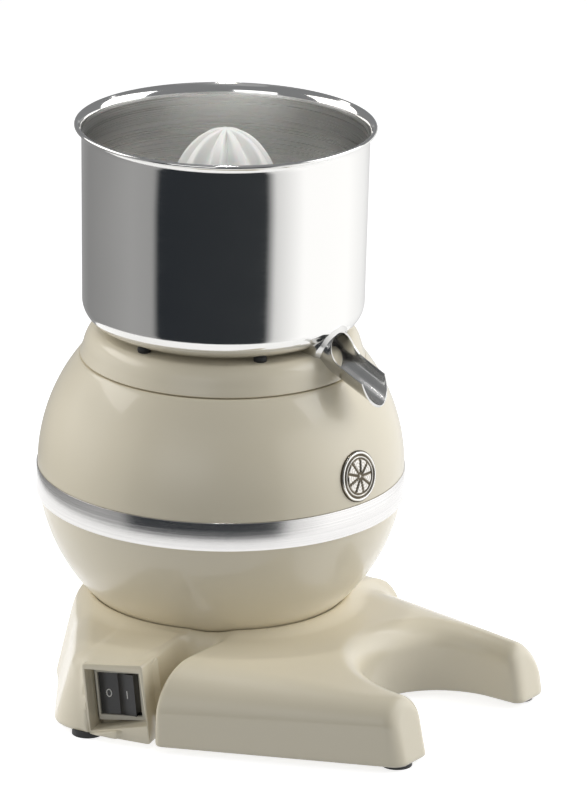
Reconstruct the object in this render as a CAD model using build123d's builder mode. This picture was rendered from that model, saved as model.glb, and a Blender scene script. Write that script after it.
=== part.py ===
from build123d import *
import math
import os

# Electric citrus press, in millimetres. The drive axis is the Z axis, the ground is z = 0,
# the glass bay opens towards -Y and the switch is on the -X side.

os.makedirs("parts", exist_ok=True)

# ---- Driving sizes -------------------------------------------------------------------
running = 0.05          # radial clearance of a shaft in its bush or hub
seam = 0.3              # open seam between neighbouring shells
lift_gap = 0.5          # clearance round pieces that lift off by hand

foot_height = 4.0
base_top = 50.0         # top of the casting round the sphere
sphere_r = 107.6
sphere_z = 127.1
shell_wall = 4.0
seat_r = 74.0           # where the sphere meets the casting

band_top = 128.0
band_height = 17.0
band_wall = 1.0
band_proud = 0.6

neck_z = 194.5          # seam between the upper shell and the neck collar
collar_top = 211.5
collar_top_r = 73.0
pad_height = 3.5
pad_turn = -6.0         # degrees that the pads and the badge are turned from the front
pad_count = 6

bowl_depth = 118.0
bowl_rim_r = 86.2       # centre line of the rolled bead
bead_r = 1.3
bowl_wall_top_r = 83.3
bowl_wall_foot_r = 82.2
bowl_wall = 1.0
bowl_corner_r = 14.0

shaft_r = 6.0
hub_r = 10.0
tube_bore_r = 12.5      # the bowl's centre tube
tube_wall = 1.0
tube_height = 46.0

spout_slope = 25.0      # degrees below level
spout_r = 11.5
spout_wall = 1.0
spout_start_r = 62.0
spout_end_r = 117.0
spout_tube_share = 0.15  # part of the spout's length that is a closed tube

cone_r = 38.0
cone_height = 62.0
cone_below_rim = 3.0
rib_count = 9

rear_r = 93.0           # round rear body of the casting
rear_lean = 19.3        # degrees that the rear body and its shoulder lean in
rear_round = 2.0
near_rear_x = -136.5    # the flanks and crown of the front block at its rear end and its tips
near_tip_x = -77.0
far_rear_x = 107.0
far_tip_x = 79.0
near_rear_round = 29.0
near_tip_round = 13.0
far_rear_round = 60.0
far_tip_round = 28.0
tip_top = 40.0

bay_y = -160.0          # centre of the bay that a glass stands in
bay_r = 46.0
bay_tilt = 4.5          # degrees, follows the fall of the arms
bay_round = 17.0
tip_y = -183.0
fender_rear_y = -51.0
casting_wall = 6.0

switch_face = 139.0     # distance of the switch face from the axis
switch_turn = 12.0      # degrees from -X towards the front
switch_lean = 6.5       # degrees in the plane of the face
switch_recess = 13.0
rocker_width = 25.6
rocker_height = 25.0
rocker_gap = 0.4
rocker_throw = 16.0

motor_r = 62.0
stator_bottom = 92.0
stator_height = 50.0
rotor_r = 29.6
air_gap = 0.5
shield_wall = 6.0
bush_height = 9.0

bottom = (Align.CENTER, Align.CENTER, Align.MIN)
foot_r = 9.0
foot_screw_r = 2.0
foot_places = [(-64.5, -172.0), (64.5, -170.0), (-134.0, -4.0), (56.0, 64.0)]
cover_wall = 2.0
cover_screw_r = 1.5
shell_floor_z = 52.0    # inside face of the lower shell's floor
mount_r = 48.0
mount_screw_r = 2.0
shell_screw_r = 2.0
shell_screw_place_r = 60.0
ledge_r = 54.0
ledge_wall = 6.0

pillar_place_r = 40.0
collar_screw_r = 2.0
pad_place_r = 68.0
pad_r = 4.0
spout_start_z = 221.5

strainer_rings = 7
rib_width = 5.0
drive_pin_r = 1.5
hub_cap = 3.0

saddle_width = 3.0
pivot_r = 1.5
gland_bore_r = 3.6
gland_shank_r = 5.8
gland_flange_r = 9.6
gland_z = 20.0
gland_face_y = 86.0
casting_rear = 20.0     # from the gland's flange to the inside of the rear wall

# ---- Values that follow from them ----------------------------------------------------
floor_z = foot_height
bowl_bottom = collar_top + pad_height
rim_z = bowl_bottom + bowl_depth
cone_tip = rim_z + bead_r - cone_below_rim
cone_foot = cone_tip - cone_height
tube_top = bowl_bottom + tube_height
strainer_z = cone_foot - 5.0
hub_top = cone_foot + 38.0
channel_r = spout_r + saddle_width + lift_gap
stator_top = stator_bottom + stator_height
shield_reach = 28.0     # how far each end shield reaches past the stator
upper_shield_top = stator_top + shield_reach + shield_wall
lower_shield_bottom = stator_bottom - shield_reach
band_bottom = band_top - band_height
shell_split = band_top - band_height / 2
band_outer_r = sphere_r + band_proud
shell_in_r = sphere_r - shell_wall


def sphere_radius_at(z, r=sphere_r):
    return math.sqrt(r**2 - (z - sphere_z) ** 2)


def save(piece, name):
    piece.part.label = name
    export_step(piece.part, f"parts/{name}.step")


# ---- Base casting --------------------------------------------------------------------
def fender_section(y, near, far, top, near_round, far_round, inset=0.0):
    """One cross-section of the front block, seen along Y."""
    low = floor_z if inset == 0 else 0.0
    with BuildSketch(Plane.XZ.offset(-y)) as section:
        with BuildLine():
            foot = (near + inset, low)
            shoulder = (near + inset, top - near_round)
            corner = near_round * (1 - math.sqrt(0.5))
            crown = (near + near_round, top - inset)
            middle = (near + inset + corner, top - inset - corner)
            far_mid = (far - inset - far_round * 0.3, top - inset - far_round * 0.3)
            far_crown = (far - far_round, top - inset)
            Line(foot, shoulder)
            ThreePointArc(shoulder, middle, crown)
            Line(crown, far_crown)
            ThreePointArc(far_crown, far_mid, (far - inset, low))
            Line((far - inset, low), foot)
        make_face()
    return section.sketch


def fender_block(rear_y, front_y, inset=0.0):
    """The front block between two cross-sections, tapering towards the tips."""
    span = tip_y - fender_rear_y

    def at(y, rear, front):
        return rear + (front - rear) * (y - fender_rear_y) / span

    sections = []
    for y in (rear_y, front_y):
        sections.append(
            fender_section(
                y,
                near=at(y, near_rear_x, near_tip_x),
                far=at(y, far_rear_x, far_tip_x),
                top=at(y, base_top - 1.0, tip_top),
                near_round=at(y, near_rear_round, near_tip_round),
                far_round=at(y, far_rear_round, far_tip_round),
                inset=inset,
            )
        )
    with BuildPart() as block:
        add(sections[0])
        add(sections[1])
        loft(ruled=True)
    return block.part


def bay_cut(grow=0.0):
    """The space of the glass bay: round at the rear, open at the front, rolled at the top."""
    plane = Plane(origin=(0, bay_y, 0), x_dir=(1, 0, 0), z_dir=(0, 0, 1)).rotated((bay_tilt, 0, 0))
    lip_z = base_top - 6.0
    lip_r = bay_r + 2 + bay_round
    side = Plane(origin=plane.origin, x_dir=plane.x_dir, z_dir=-plane.y_dir)

    def profile(mirrored):
        sign = -1 if mirrored else 1
        with BuildSketch(side) as half:
            with BuildLine():
                bend = bay_round * (1 - math.sqrt(0.5))
                wall_top = (sign * (bay_r + 2 + grow), lip_z - bay_round)
                lip = (sign * (lip_r + grow), lip_z - grow)
                mid = (sign * (bay_r + 2 + bend + grow), lip_z - bend - grow * 0.7)
                Line((0, -20), (sign * (bay_r + grow), -20))
                Line((sign * (bay_r + grow), -20), wall_top)
                ThreePointArc(wall_top, mid, lip)
                Line(lip, (sign * (lip_r + grow), lip_z + 40))
                Line((sign * (lip_r + grow), lip_z + 40), (0, lip_z + 40))
                Line((0, lip_z + 40), (0, -20))
            make_face()
        return half.sketch

    far_half = profile(False)
    near_half = profile(True)
    with BuildPart() as cut:
        add(far_half)
        revolve(axis=Axis(plane.origin, plane.z_dir), revolution_arc=360)
        extrude(far_half, amount=60)
        extrude(near_half, amount=60)
    return cut.part


def switch_plane(depth=0.0):
    """Plane of the switch face: local x runs towards the front, local y is up."""
    turn = math.radians(switch_turn)
    out = (-math.cos(turn), -math.sin(turn), 0)
    along = (math.sin(turn), -math.cos(turn), 0)
    distance = switch_face - depth
    return Plane(origin=(out[0] * distance, out[1] * distance, 0), x_dir=along, z_dir=out)


box_outline = [(-20.3, floor_z), (18.8, floor_z), (13.0, 50.5), (-25.1, 45.5)]
box_opening = [(-18.0, 8.0), (16.0, 13.0), (10.8, 45.5), (-22.3, 42.0)]
rocker_centre = (-5.6, 25.6)
box_depth = 40.0

# shoulder behind the switch
with BuildPart() as shoulder:
    with BuildSketch(Plane.XY.offset(floor_z)):
        with BuildLine():
            Polyline((-40, -28), (-40, 60), (-85, 52), (-130, 20))
            ThreePointArc((-130, 20), (-141, 8), (-144, -6))
            Polyline((-144, -6), (-138, -28), (-40, -28))
        make_face()
    extrude(amount=base_top - 3 - floor_z, taper=rear_lean)

# wall that carries the far flank of the front block back into the round body
with BuildPart() as far_wall:
    with BuildSketch(Plane.XY.offset(floor_z)):
        Polygon((40, -57.5), (106.5, -57.5), (94.5, 8), (40, 20), align=None)
    extrude(amount=base_top - 2 - floor_z)
    rim = far_wall.faces().sort_by(Axis.Z)[-1].edges()
    fillet(rim.sort_by(Axis.X)[-1], radius=40)

# space for the sphere, down to the ledge that its floor stands on
with BuildPart() as sphere_space:
    with Locations((0, 0, sphere_z)):
        Sphere(sphere_r + 0.1)
    with Locations((0, 0, shell_floor_z - shell_wall)):
        Box(400, 400, 400, align=(Align.CENTER, Align.CENTER, Align.MAX), mode=Mode.SUBTRACT)

# pockets in both arms, open below
pocket_block = fender_block(fender_rear_y - 22, tip_y + casting_wall + 2, inset=casting_wall)
walled_bay = bay_cut(grow=casting_wall)
with BuildPart() as pockets:
    add(pocket_block)
    add(walled_bay, mode=Mode.SUBTRACT)
    with BuildSketch(Plane.XY):
        Circle(seat_r + casting_wall)
        with Locations(*foot_places):
            Circle(foot_r)
    extrude(amount=base_top, mode=Mode.SUBTRACT)

front_block = fender_block(fender_rear_y, tip_y)
open_bay = bay_cut()
with BuildPart() as base_casting:
    # round rear body
    with BuildSketch(Plane.XY.offset(floor_z)):
        Circle(rear_r)
    extrude(amount=base_top - floor_z, taper=rear_lean)
    fillet(base_casting.faces().sort_by(Axis.Z)[-1].edges(), radius=rear_round)
    add(shoulder.part)
    add(far_wall.part)
    # front block, with its rear end inside the rear body
    add(front_block)
    # switch housing
    with BuildSketch(switch_plane()):
        Polygon(*box_outline, align=None)
    extrude(amount=-box_depth)
    # glass bay
    add(open_bay, mode=Mode.SUBTRACT)
    add(sphere_space.part, mode=Mode.SUBTRACT)
    # motor well and rebate of the cover
    with BuildSketch(Plane.XY.offset(floor_z)):
        Circle(seat_r - 8)
    extrude(amount=shell_floor_z - shell_wall - ledge_wall - floor_z, mode=Mode.SUBTRACT)
    with BuildSketch(Plane.XY.offset(floor_z)):
        Circle(ledge_r)
    extrude(amount=base_top, mode=Mode.SUBTRACT)
    with BuildSketch(Plane.XY.offset(shell_floor_z - shell_wall)):
        with PolarLocations(shell_screw_place_r, 4):
            Circle(shell_screw_r)
    extrude(amount=-ledge_wall, mode=Mode.SUBTRACT)
    with BuildSketch(Plane.XY.offset(floor_z)):
        Circle(seat_r)
    extrude(amount=2.2, mode=Mode.SUBTRACT)
    # recess of the switch
    with BuildSketch(switch_plane(-10)):
        Polygon(*box_opening, align=None)
    extrude(amount=-switch_recess - 10, mode=Mode.SUBTRACT)
    with BuildSketch(switch_plane(switch_recess)):
        with Locations(rocker_centre):
            Rectangle(rocker_width + 6, rocker_height + 6, rotation=switch_lean)
    extrude(amount=-60, mode=Mode.SUBTRACT)
    # hole of the cable gland in the rear wall
    with BuildSketch(Plane.XZ.offset(-60)):
        with Locations((0, gland_z)):
            Circle(gland_shank_r + 0.2)
    extrude(amount=-60, mode=Mode.SUBTRACT)
    with BuildSketch(Plane.XZ.offset(-gland_face_y)):
        with Locations((0, gland_z)):
            Circle(gland_flange_r + 0.4)
    extrude(amount=-10, mode=Mode.SUBTRACT)

with BuildPart() as casting:
    add(base_casting.part)
    add(pockets.part, mode=Mode.SUBTRACT)
    # threaded holes over the feet and the cover
    with Locations(*[(x, y, floor_z) for x, y in foot_places]):
        Cylinder(foot_screw_r, 12, align=bottom, mode=Mode.SUBTRACT)
    with PolarLocations(seat_r - 4, 4, start_angle=45):
        with Locations((0, 0, floor_z + 2.2)):
            Cylinder(cover_screw_r, 8, align=bottom, mode=Mode.SUBTRACT)
save(casting, "base_casting")

with BuildPart() as base_cover:
    with BuildSketch(Plane.XY.offset(floor_z)):
        Circle(seat_r - seam)
        with PolarLocations(seat_r - 4, 4, start_angle=45):
            Circle(cover_screw_r + 0.2, mode=Mode.SUBTRACT)
        with PolarLocations(30, 8):
            SlotOverall(16, 4, mode=Mode.SUBTRACT)
    extrude(amount=cover_wall)
save(base_cover, "base_cover")

with BuildPart() as rubber_feet:
    with Locations(*[(x, y, 0) for x, y in foot_places]):
        Cylinder(foot_r, foot_height, align=bottom)
        Cylinder(foot_screw_r + 0.2, foot_height, align=bottom, mode=Mode.SUBTRACT)
    with Locations(*[(x, y, 0) for x, y in foot_places]):
        Cylinder(foot_r * 0.5, foot_height / 2, align=bottom, mode=Mode.SUBTRACT)
save(rubber_feet, "rubber_feet")


def screw(shank_r, length, head_height=1.6):
    """A socket-head screw: underside of the head at z = 0, shank up, head down."""
    head_r = shank_r * 1.8
    with BuildPart() as one:
        Cylinder(shank_r, length, align=bottom)
        Cylinder(head_r, head_height, align=(Align.CENTER, Align.CENTER, Align.MAX))
        with BuildSketch(Plane.XY.offset(-head_height)):
            RegularPolygon(shank_r, 6)
        extrude(amount=head_height * 0.6, mode=Mode.SUBTRACT)
    return one.part


foot_screw = screw(foot_screw_r, 10, head_height=1.4)
with BuildPart() as foot_screws:
    with Locations(*[(x, y, foot_height / 2) for x, y in foot_places]):
        add(foot_screw)
save(foot_screws, "foot_screws")

cover_screw = screw(cover_screw_r, 8)
with BuildPart() as cover_screws:
    with PolarLocations(seat_r - 4, 4, start_angle=45):
        with Locations((0, 0, floor_z)):
            add(cover_screw)
save(cover_screws, "cover_screws")

# ---- Sphere: lower shell, upper shell, trim band --------------------------------------


def ball_shell(low_z, high_z):
    """The part of the spherical shell between two levels, with the groove of the band."""
    with BuildPart() as shell:
        with Locations((0, 0, sphere_z)):
            Sphere(sphere_r)
            Sphere(shell_in_r, mode=Mode.SUBTRACT)
        with Locations((0, 0, low_z)):
            Box(400, 400, 400, align=(Align.CENTER, Align.CENTER, Align.MAX), mode=Mode.SUBTRACT)
        with Locations((0, 0, high_z)):
            Box(400, 400, 400, align=bottom, mode=Mode.SUBTRACT)
        with BuildSketch(Plane.XZ):
            with Locations((band_outer_r - band_wall, band_bottom)):
                Rectangle(20, band_height, align=(Align.MIN, Align.MIN))
        revolve(axis=Axis.Z, mode=Mode.SUBTRACT)
    return shell.part


shell_floor_r = sphere_radius_at(shell_floor_z, shell_in_r) + 0.5
lower_ball = ball_shell(shell_floor_z - shell_wall, shell_split)
with BuildPart() as lower_shell:
    add(lower_ball)
    with BuildSketch(Plane.XY.offset(shell_floor_z - shell_wall)):
        Circle(shell_floor_r)
        with PolarLocations(mount_r, 4):
            Circle(mount_screw_r + 0.2, mode=Mode.SUBTRACT)
        with PolarLocations(shell_screw_place_r, 4):
            Circle(shell_screw_r + 0.2, mode=Mode.SUBTRACT)
        Circle(12, mode=Mode.SUBTRACT)
    extrude(amount=shell_wall)
save(lower_shell, "lower_shell")

lip_in_r = shell_in_r - 3.0
upper_ball = ball_shell(shell_split, neck_z - seam)
with BuildPart() as upper_shell:
    add(upper_ball)
    # locating lip that drops inside the lower shell
    with BuildSketch(Plane.XZ):
        with Locations((lip_in_r, shell_split)):
            Rectangle(shell_in_r + 0.5 - lip_in_r, 5, align=(Align.MIN, Align.MIN))
        with Locations((lip_in_r, shell_split - 5)):
            Rectangle(shell_in_r - 1.2 - lip_in_r, 5, align=(Align.MIN, Align.MIN))
    revolve(axis=Axis.Z)
save(upper_shell, "upper_shell")

with BuildPart() as trim_band:
    with BuildSketch(Plane.XZ):
        with Locations((band_outer_r - band_wall, band_bottom)):
            Rectangle(band_wall, band_height, align=(Align.MIN, Align.MIN))
    revolve(axis=Axis.Z)
save(trim_band, "trim_band")

shell_screw = screw(shell_screw_r, shell_wall + ledge_wall).mirror(Plane.XY)
with BuildPart() as shell_screws:
    with PolarLocations(shell_screw_place_r, 4):
        with Locations((0, 0, shell_floor_z)):
            add(shell_screw)
save(shell_screws, "shell_screws")

# ---- Neck collar and bowl pads --------------------------------------------------------
neck_r = sphere_radius_at(neck_z)
boss_r = tube_bore_r - lift_gap
boss_top = bowl_bottom + 26.0
seal_r = 9.0
seal_height = 5.0
collar_wall = 4.0
with BuildPart() as collar_ring:
    with BuildSketch(Plane.XZ):
        with BuildLine():
            Line((neck_r - 0.7, neck_z), (neck_r - 2.2, neck_z + 5.0))
            ThreePointArc(
                (neck_r - 2.2, neck_z + 5.0),
                (collar_top_r + 4.6, collar_top - 4.0),
                (collar_top_r, collar_top),
            )
            Polyline(
                (collar_top_r, collar_top),
                (boss_r, collar_top),
                (boss_r, boss_top),
                (shaft_r + 1, boss_top),
                (shaft_r + 1, collar_top - collar_wall),
                (neck_r - 14, collar_top - collar_wall),
                (neck_r - 8, neck_z),
                (neck_r - 0.7, neck_z),
            )
        make_face()
    revolve(axis=Axis.Z)
    # pocket of the shaft seal
    with Locations((0, 0, boss_top - seal_height)):
        Cylinder(seal_r, seal_height, align=bottom, mode=Mode.SUBTRACT)
    # holes of the three collar screws
    with PolarLocations(pillar_place_r, 3, start_angle=90):
        with Locations((0, 0, collar_top)):
            Cylinder(collar_screw_r + 0.2, 20, mode=Mode.SUBTRACT)
            Cylinder(collar_screw_r * 1.8 + 0.2, 4.0, mode=Mode.SUBTRACT)


def spout_axis():
    """Line of the spout, from inside the bowl to its free end."""
    slope = math.radians(spout_slope)
    start = Vector(0, -spout_start_r, spout_start_z)
    run = spout_end_r - spout_start_r
    return start, Vector(0, -math.cos(slope), -math.sin(slope)), run / math.cos(slope)


def spout_plane(at=0.0):
    start, way, _ = spout_axis()
    return Plane(origin=start + way * at, x_dir=(1, 0, 0), z_dir=way)


spout_length = spout_axis()[2]
with BuildPart() as neck_collar:
    add(collar_ring.part)
    # channel that the spout's underside lies in
    with BuildSketch(spout_plane()):
        Circle(channel_r)
        with Locations((0, 20)):
            Rectangle(2 * channel_r, 40)
    extrude(amount=spout_length, mode=Mode.SUBTRACT)
save(neck_collar, "neck_collar")

with BuildPart() as bowl_pads:
    with Locations((0, 0, collar_top)):
        with PolarLocations(pad_place_r, pad_count, start_angle=pad_turn):
            Cylinder(pad_r, pad_height, align=bottom)
save(bowl_pads, "bowl_pads")

collar_screw = screw(collar_screw_r, 12).mirror(Plane.XY)
with BuildPart() as collar_screws:
    with PolarLocations(pillar_place_r, 3, start_angle=90):
        with Locations((0, 0, collar_top - 2.0)):
            add(collar_screw)
save(collar_screws, "collar_screws")

with BuildPart() as collar_pillars:
    with BuildSketch(Plane.XY.offset(upper_shield_top)):
        with PolarLocations(pillar_place_r, 3, start_angle=90):
            RegularPolygon(5, 6)
    extrude(amount=collar_top - collar_wall - upper_shield_top)
    with PolarLocations(pillar_place_r, 3, start_angle=90):
        with Locations((0, 0, collar_top - 2.0 - 12.5)):
            Cylinder(collar_screw_r, 20, align=bottom, mode=Mode.SUBTRACT)
save(collar_pillars, "collar_pillars")

with BuildPart() as shaft_seal:
    with Locations((0, 0, boss_top - seal_height)):
        Cylinder(seal_r, seal_height, align=bottom)
        Cylinder(shaft_r + running, seal_height, align=bottom, mode=Mode.SUBTRACT)
save(shaft_seal, "shaft_seal")

# ---- Bowl, spout and strainer ---------------------------------------------------------
outlet_r = spout_r - spout_wall
with BuildPart() as bowl:
    foot_in_r = bowl_wall_foot_r - bowl_corner_r
    bend = bowl_corner_r * math.sqrt(0.5)
    inner_corner = bowl_corner_r - bowl_wall
    inner_bend = inner_corner * math.sqrt(0.5)
    corner_z = bowl_bottom + bowl_corner_r
    tube_out_r = tube_bore_r + tube_wall
    with BuildSketch(Plane.XZ):
        with BuildLine():
            Line((tube_bore_r, bowl_bottom), (foot_in_r, bowl_bottom))
            ThreePointArc(
                (foot_in_r, bowl_bottom),
                (foot_in_r + bend, corner_z - bend),
                (bowl_wall_foot_r, corner_z),
            )
            Polyline(
                (bowl_wall_foot_r, corner_z),
                (bowl_wall_top_r, rim_z - 6),
                (bowl_rim_r - 0.5, rim_z - 0.8),
                (bowl_rim_r - 0.5, rim_z + 0.5),
                (bowl_wall_top_r - bowl_wall, rim_z - 5),
                (bowl_wall_foot_r - bowl_wall, corner_z),
            )
            ThreePointArc(
                (bowl_wall_foot_r - bowl_wall, corner_z),
                (foot_in_r + inner_bend, corner_z - inner_bend),
                (foot_in_r, bowl_bottom + bowl_wall),
            )
            Polyline(
                (foot_in_r, bowl_bottom + bowl_wall),
                (tube_out_r, bowl_bottom + bowl_wall),
                (tube_out_r, tube_top),
                (tube_bore_r, tube_top),
                (tube_bore_r, bowl_bottom),
            )
        make_face()
        with Locations((bowl_rim_r, rim_z)):
            Circle(bead_r)
    revolve(axis=Axis.Z)
    # outlet into the spout
    with BuildSketch(spout_plane()):
        Circle(outlet_r)
    extrude(amount=40, mode=Mode.SUBTRACT)
save(bowl, "bowl")

with BuildPart() as bowl_body:
    with BuildSketch(Plane.XZ):
        with BuildLine():
            Line((0, bowl_bottom), (foot_in_r, bowl_bottom))
            ThreePointArc(
                (foot_in_r, bowl_bottom),
                (foot_in_r + bend, corner_z - bend),
                (bowl_wall_foot_r, corner_z),
            )
            Polyline((bowl_wall_foot_r, corner_z), (bowl_wall_top_r, rim_z), (0, rim_z), (0, bowl_bottom))
        make_face()
    revolve(axis=Axis.Z)

with BuildPart() as spout:
    with BuildSketch(spout_plane()):
        Circle(spout_r)
        Circle(outlet_r, mode=Mode.SUBTRACT)
    extrude(amount=spout_length)
    # the trough is open above, with a rounded end
    tube_length = spout_length * spout_tube_share + 8
    with BuildSketch(spout_plane(tube_length)):
        with Locations((0, spout_r)):
            Rectangle(3 * spout_r, 2 * spout_r)
    extrude(amount=spout_length, mode=Mode.SUBTRACT)
    start, way, _ = spout_axis()
    top_view = Plane(origin=start, x_dir=(1, 0, 0), z_dir=spout_plane().y_dir)
    with BuildSketch(top_view.offset(-2 * spout_r)):
        with Locations((0, -spout_length)):
            Rectangle(4 * spout_r, 2 * spout_r, align=(Align.CENTER, Align.MAX))
            Rectangle(4 * spout_r, spout_r, align=(Align.CENTER, Align.MIN))
        with Locations((0, -spout_length + spout_r)):
            Circle(spout_r + 0.01, mode=Mode.SUBTRACT)
    extrude(amount=4 * spout_r, mode=Mode.SUBTRACT)
    # saddle welded on the corner of the bowl
    with BuildSketch(spout_plane(12)):
        Circle(spout_r + saddle_width)
        Circle(outlet_r, mode=Mode.SUBTRACT)
    extrude(amount=6)
    add(bowl_body.part, mode=Mode.SUBTRACT)
save(spout, "spout")

strainer_r = bowl_wall_foot_r - bowl_wall - lift_gap
with BuildPart() as strainer:
    with BuildSketch(Plane.XY.offset(strainer_z)):
        Circle(strainer_r)
        Circle(tube_out_r + lift_gap + 1.0, mode=Mode.SUBTRACT)
        for ring in range(strainer_rings):
            ring_r = 26 + ring * 8
            with PolarLocations(ring_r, int(ring_r * 0.7)):
                Circle(1.6, mode=Mode.SUBTRACT)
    extrude(amount=0.8)
    # rolled edge and three legs that stand on the bowl's floor
    with BuildSketch(Plane.XY.offset(strainer_z - 4)):
        Circle(strainer_r)
        Circle(strainer_r - 0.8, mode=Mode.SUBTRACT)
    extrude(amount=4)
    leg_length = strainer_z - bowl_bottom - bowl_wall
    with BuildSketch(Plane.XY.offset(bowl_bottom + bowl_wall)):
        with PolarLocations(58, 3, start_angle=90):
            Circle(2.0)
    extrude(amount=leg_length)
save(strainer, "strainer")

# ---- Reamer cone ----------------------------------------------------------------------
skirt_height = 4.0
core_r = cone_r - 5.0
with BuildPart() as rib:
    with BuildSketch(Plane.XZ):
        with BuildLine():
            ThreePointArc(
                (cone_r, cone_foot + skirt_height - 0.5),
                (cone_r * 0.80, cone_foot + cone_height * 0.60),
                (1.5, cone_tip),
            )
            Polyline(
                (1.5, cone_tip),
                (1.5, cone_tip - 12),
                (hub_r + 2, hub_top + 0.5),
                (core_r - 8, cone_foot + skirt_height - 0.5),
                (cone_r, cone_foot + skirt_height - 0.5),
            )
        make_face()
    extrude(amount=rib_width / 2, both=True)

with BuildPart() as reamer_cone:
    with BuildSketch(Plane.XZ):
        with BuildLine():
            Line((hub_r, cone_foot), (cone_r + 3, cone_foot))
            Line((cone_r + 3, cone_foot), (cone_r + 3, cone_foot + skirt_height / 2))
            Line((cone_r + 3, cone_foot + skirt_height / 2), (core_r, cone_foot + skirt_height))
            ThreePointArc(
                (core_r, cone_foot + skirt_height),
                (core_r * 0.78, cone_foot + cone_height * 0.58),
                (3.0, cone_tip - 4.5),
            )
            Polyline((3.0, cone_tip - 4.5), (0, cone_tip - 4.5), (0, hub_top), (hub_r, hub_top), (hub_r, cone_foot))
        make_face()
    revolve(axis=Axis.Z)
    for index in range(rib_count):
        add(rib.part.rotate(Axis.Z, index * 360 / rib_count))
    # hollow underside that clears the bowl's centre tube
    with BuildSketch(Plane.XZ):
        with BuildLine():
            Polyline(
                (tube_out_r + 2, cone_foot),
                (core_r - 3, cone_foot),
                (core_r - 12, cone_foot + 26),
                (tube_out_r + 2, cone_foot + 26),
                (tube_out_r + 2, cone_foot),
            )
        make_face()
    revolve(axis=Axis.Z, mode=Mode.SUBTRACT)
save(reamer_cone, "reamer_cone")

pin_z = cone_foot + 14.0
with BuildPart() as cone_hub:
    with Locations((0, 0, cone_foot)):
        Cylinder(hub_r, hub_top - cone_foot, align=bottom)
        Cylinder(shaft_r + running, hub_top - hub_cap - cone_foot, align=bottom, mode=Mode.SUBTRACT)
    # slot that drops over the drive pin
    with Locations((0, 0, cone_foot)):
        Box(4 * hub_r, 2 * drive_pin_r + 0.3, pin_z - cone_foot + drive_pin_r + 0.3, align=bottom, mode=Mode.SUBTRACT)
save(cone_hub, "cone_hub")

# ---- Motor ------------------------------------------------------------------------------
motor_bolt_r = 2.0
motor_bolt_place_r = motor_r - 5.0
skirt_in_r = motor_r - 10.0
slot_count = 12

shaft_foot = lower_shield_bottom - shield_wall + 1.0
with BuildPart() as drive_shaft:
    with Locations((0, 0, shaft_foot)):
        Cylinder(shaft_r, hub_top - hub_cap - running - shaft_foot, align=bottom)
    with Locations((0, 0, pin_z)):
        Cylinder(drive_pin_r, 4 * shaft_r, rotation=(0, 90, 0), mode=Mode.SUBTRACT)
    chamfer(drive_shaft.faces().sort_by(Axis.Z)[-1].edges(), 1.0)
save(drive_shaft, "drive_shaft")

with BuildPart() as drive_pin:
    with Locations((0, 0, pin_z)):
        Cylinder(drive_pin_r, 2 * hub_r - 1, rotation=(0, 90, 0))
save(drive_pin, "drive_pin")

with BuildPart() as rotor_core:
    with BuildSketch(Plane.XY.offset(stator_bottom)):
        Circle(rotor_r)
        Circle(shaft_r, mode=Mode.SUBTRACT)
        with PolarLocations(rotor_r - 5, 18):
            Circle(1.8, mode=Mode.SUBTRACT)
    extrude(amount=stator_height)
    for low in (stator_bottom - 5, stator_top):
        with BuildSketch(Plane.XY.offset(low)):
            Circle(rotor_r - 0.5)
            Circle(rotor_r - 9, mode=Mode.SUBTRACT)
        extrude(amount=5)
save(rotor_core, "rotor_core")

winding_rise = 14.0
fan_z = stator_top + winding_rise + 1.0
with BuildPart() as cooling_fan:
    with BuildSketch(Plane.XY.offset(fan_z)):
        Circle(12)
        Circle(shaft_r, mode=Mode.SUBTRACT)
    extrude(amount=7)
    with BuildSketch(Plane.XY.offset(fan_z)):
        Circle(skirt_in_r - 6)
        Circle(shaft_r, mode=Mode.SUBTRACT)
    extrude(amount=1)
    with BuildSketch(Plane.XY.offset(fan_z)):
        with PolarLocations(28, 9):
            Rectangle(34, 1.2)
    extrude(amount=7)
save(cooling_fan, "cooling_fan")

with BuildPart() as stator_core:
    with BuildSketch(Plane.XY.offset(stator_bottom)):
        Circle(motor_r)
        Circle(rotor_r + air_gap, mode=Mode.SUBTRACT)
        with PolarLocations(rotor_r + 11.5, slot_count):
            Rectangle(14, 7, mode=Mode.SUBTRACT)
        with PolarLocations(rotor_r + 3, slot_count):
            Rectangle(6, 2, mode=Mode.SUBTRACT)
        with PolarLocations(motor_bolt_place_r, 4, start_angle=45):
            Circle(motor_bolt_r + 0.2, mode=Mode.SUBTRACT)
    extrude(amount=stator_height)
save(stator_core, "stator_core")

with BuildPart() as stator_windings:
    for low in (stator_bottom - winding_rise, stator_top):
        with BuildSketch(Plane.XY.offset(low)):
            Circle(skirt_in_r - 1.0)
            Circle(rotor_r + 3.5, mode=Mode.SUBTRACT)
        extrude(amount=winding_rise)
    fillet(stator_windings.edges().filter_by(GeomType.CIRCLE).group_by(Axis.Z)[0], 4)
    fillet(stator_windings.edges().filter_by(GeomType.CIRCLE).group_by(Axis.Z)[-1], 4)
    with BuildSketch(Plane.XY.offset(stator_bottom)):
        with PolarLocations(rotor_r + 11.5, slot_count):
            Rectangle(13.4, 6.4)
    extrude(amount=stator_height)
save(stator_windings, "stator_windings")

bush_r = 11.0


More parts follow.
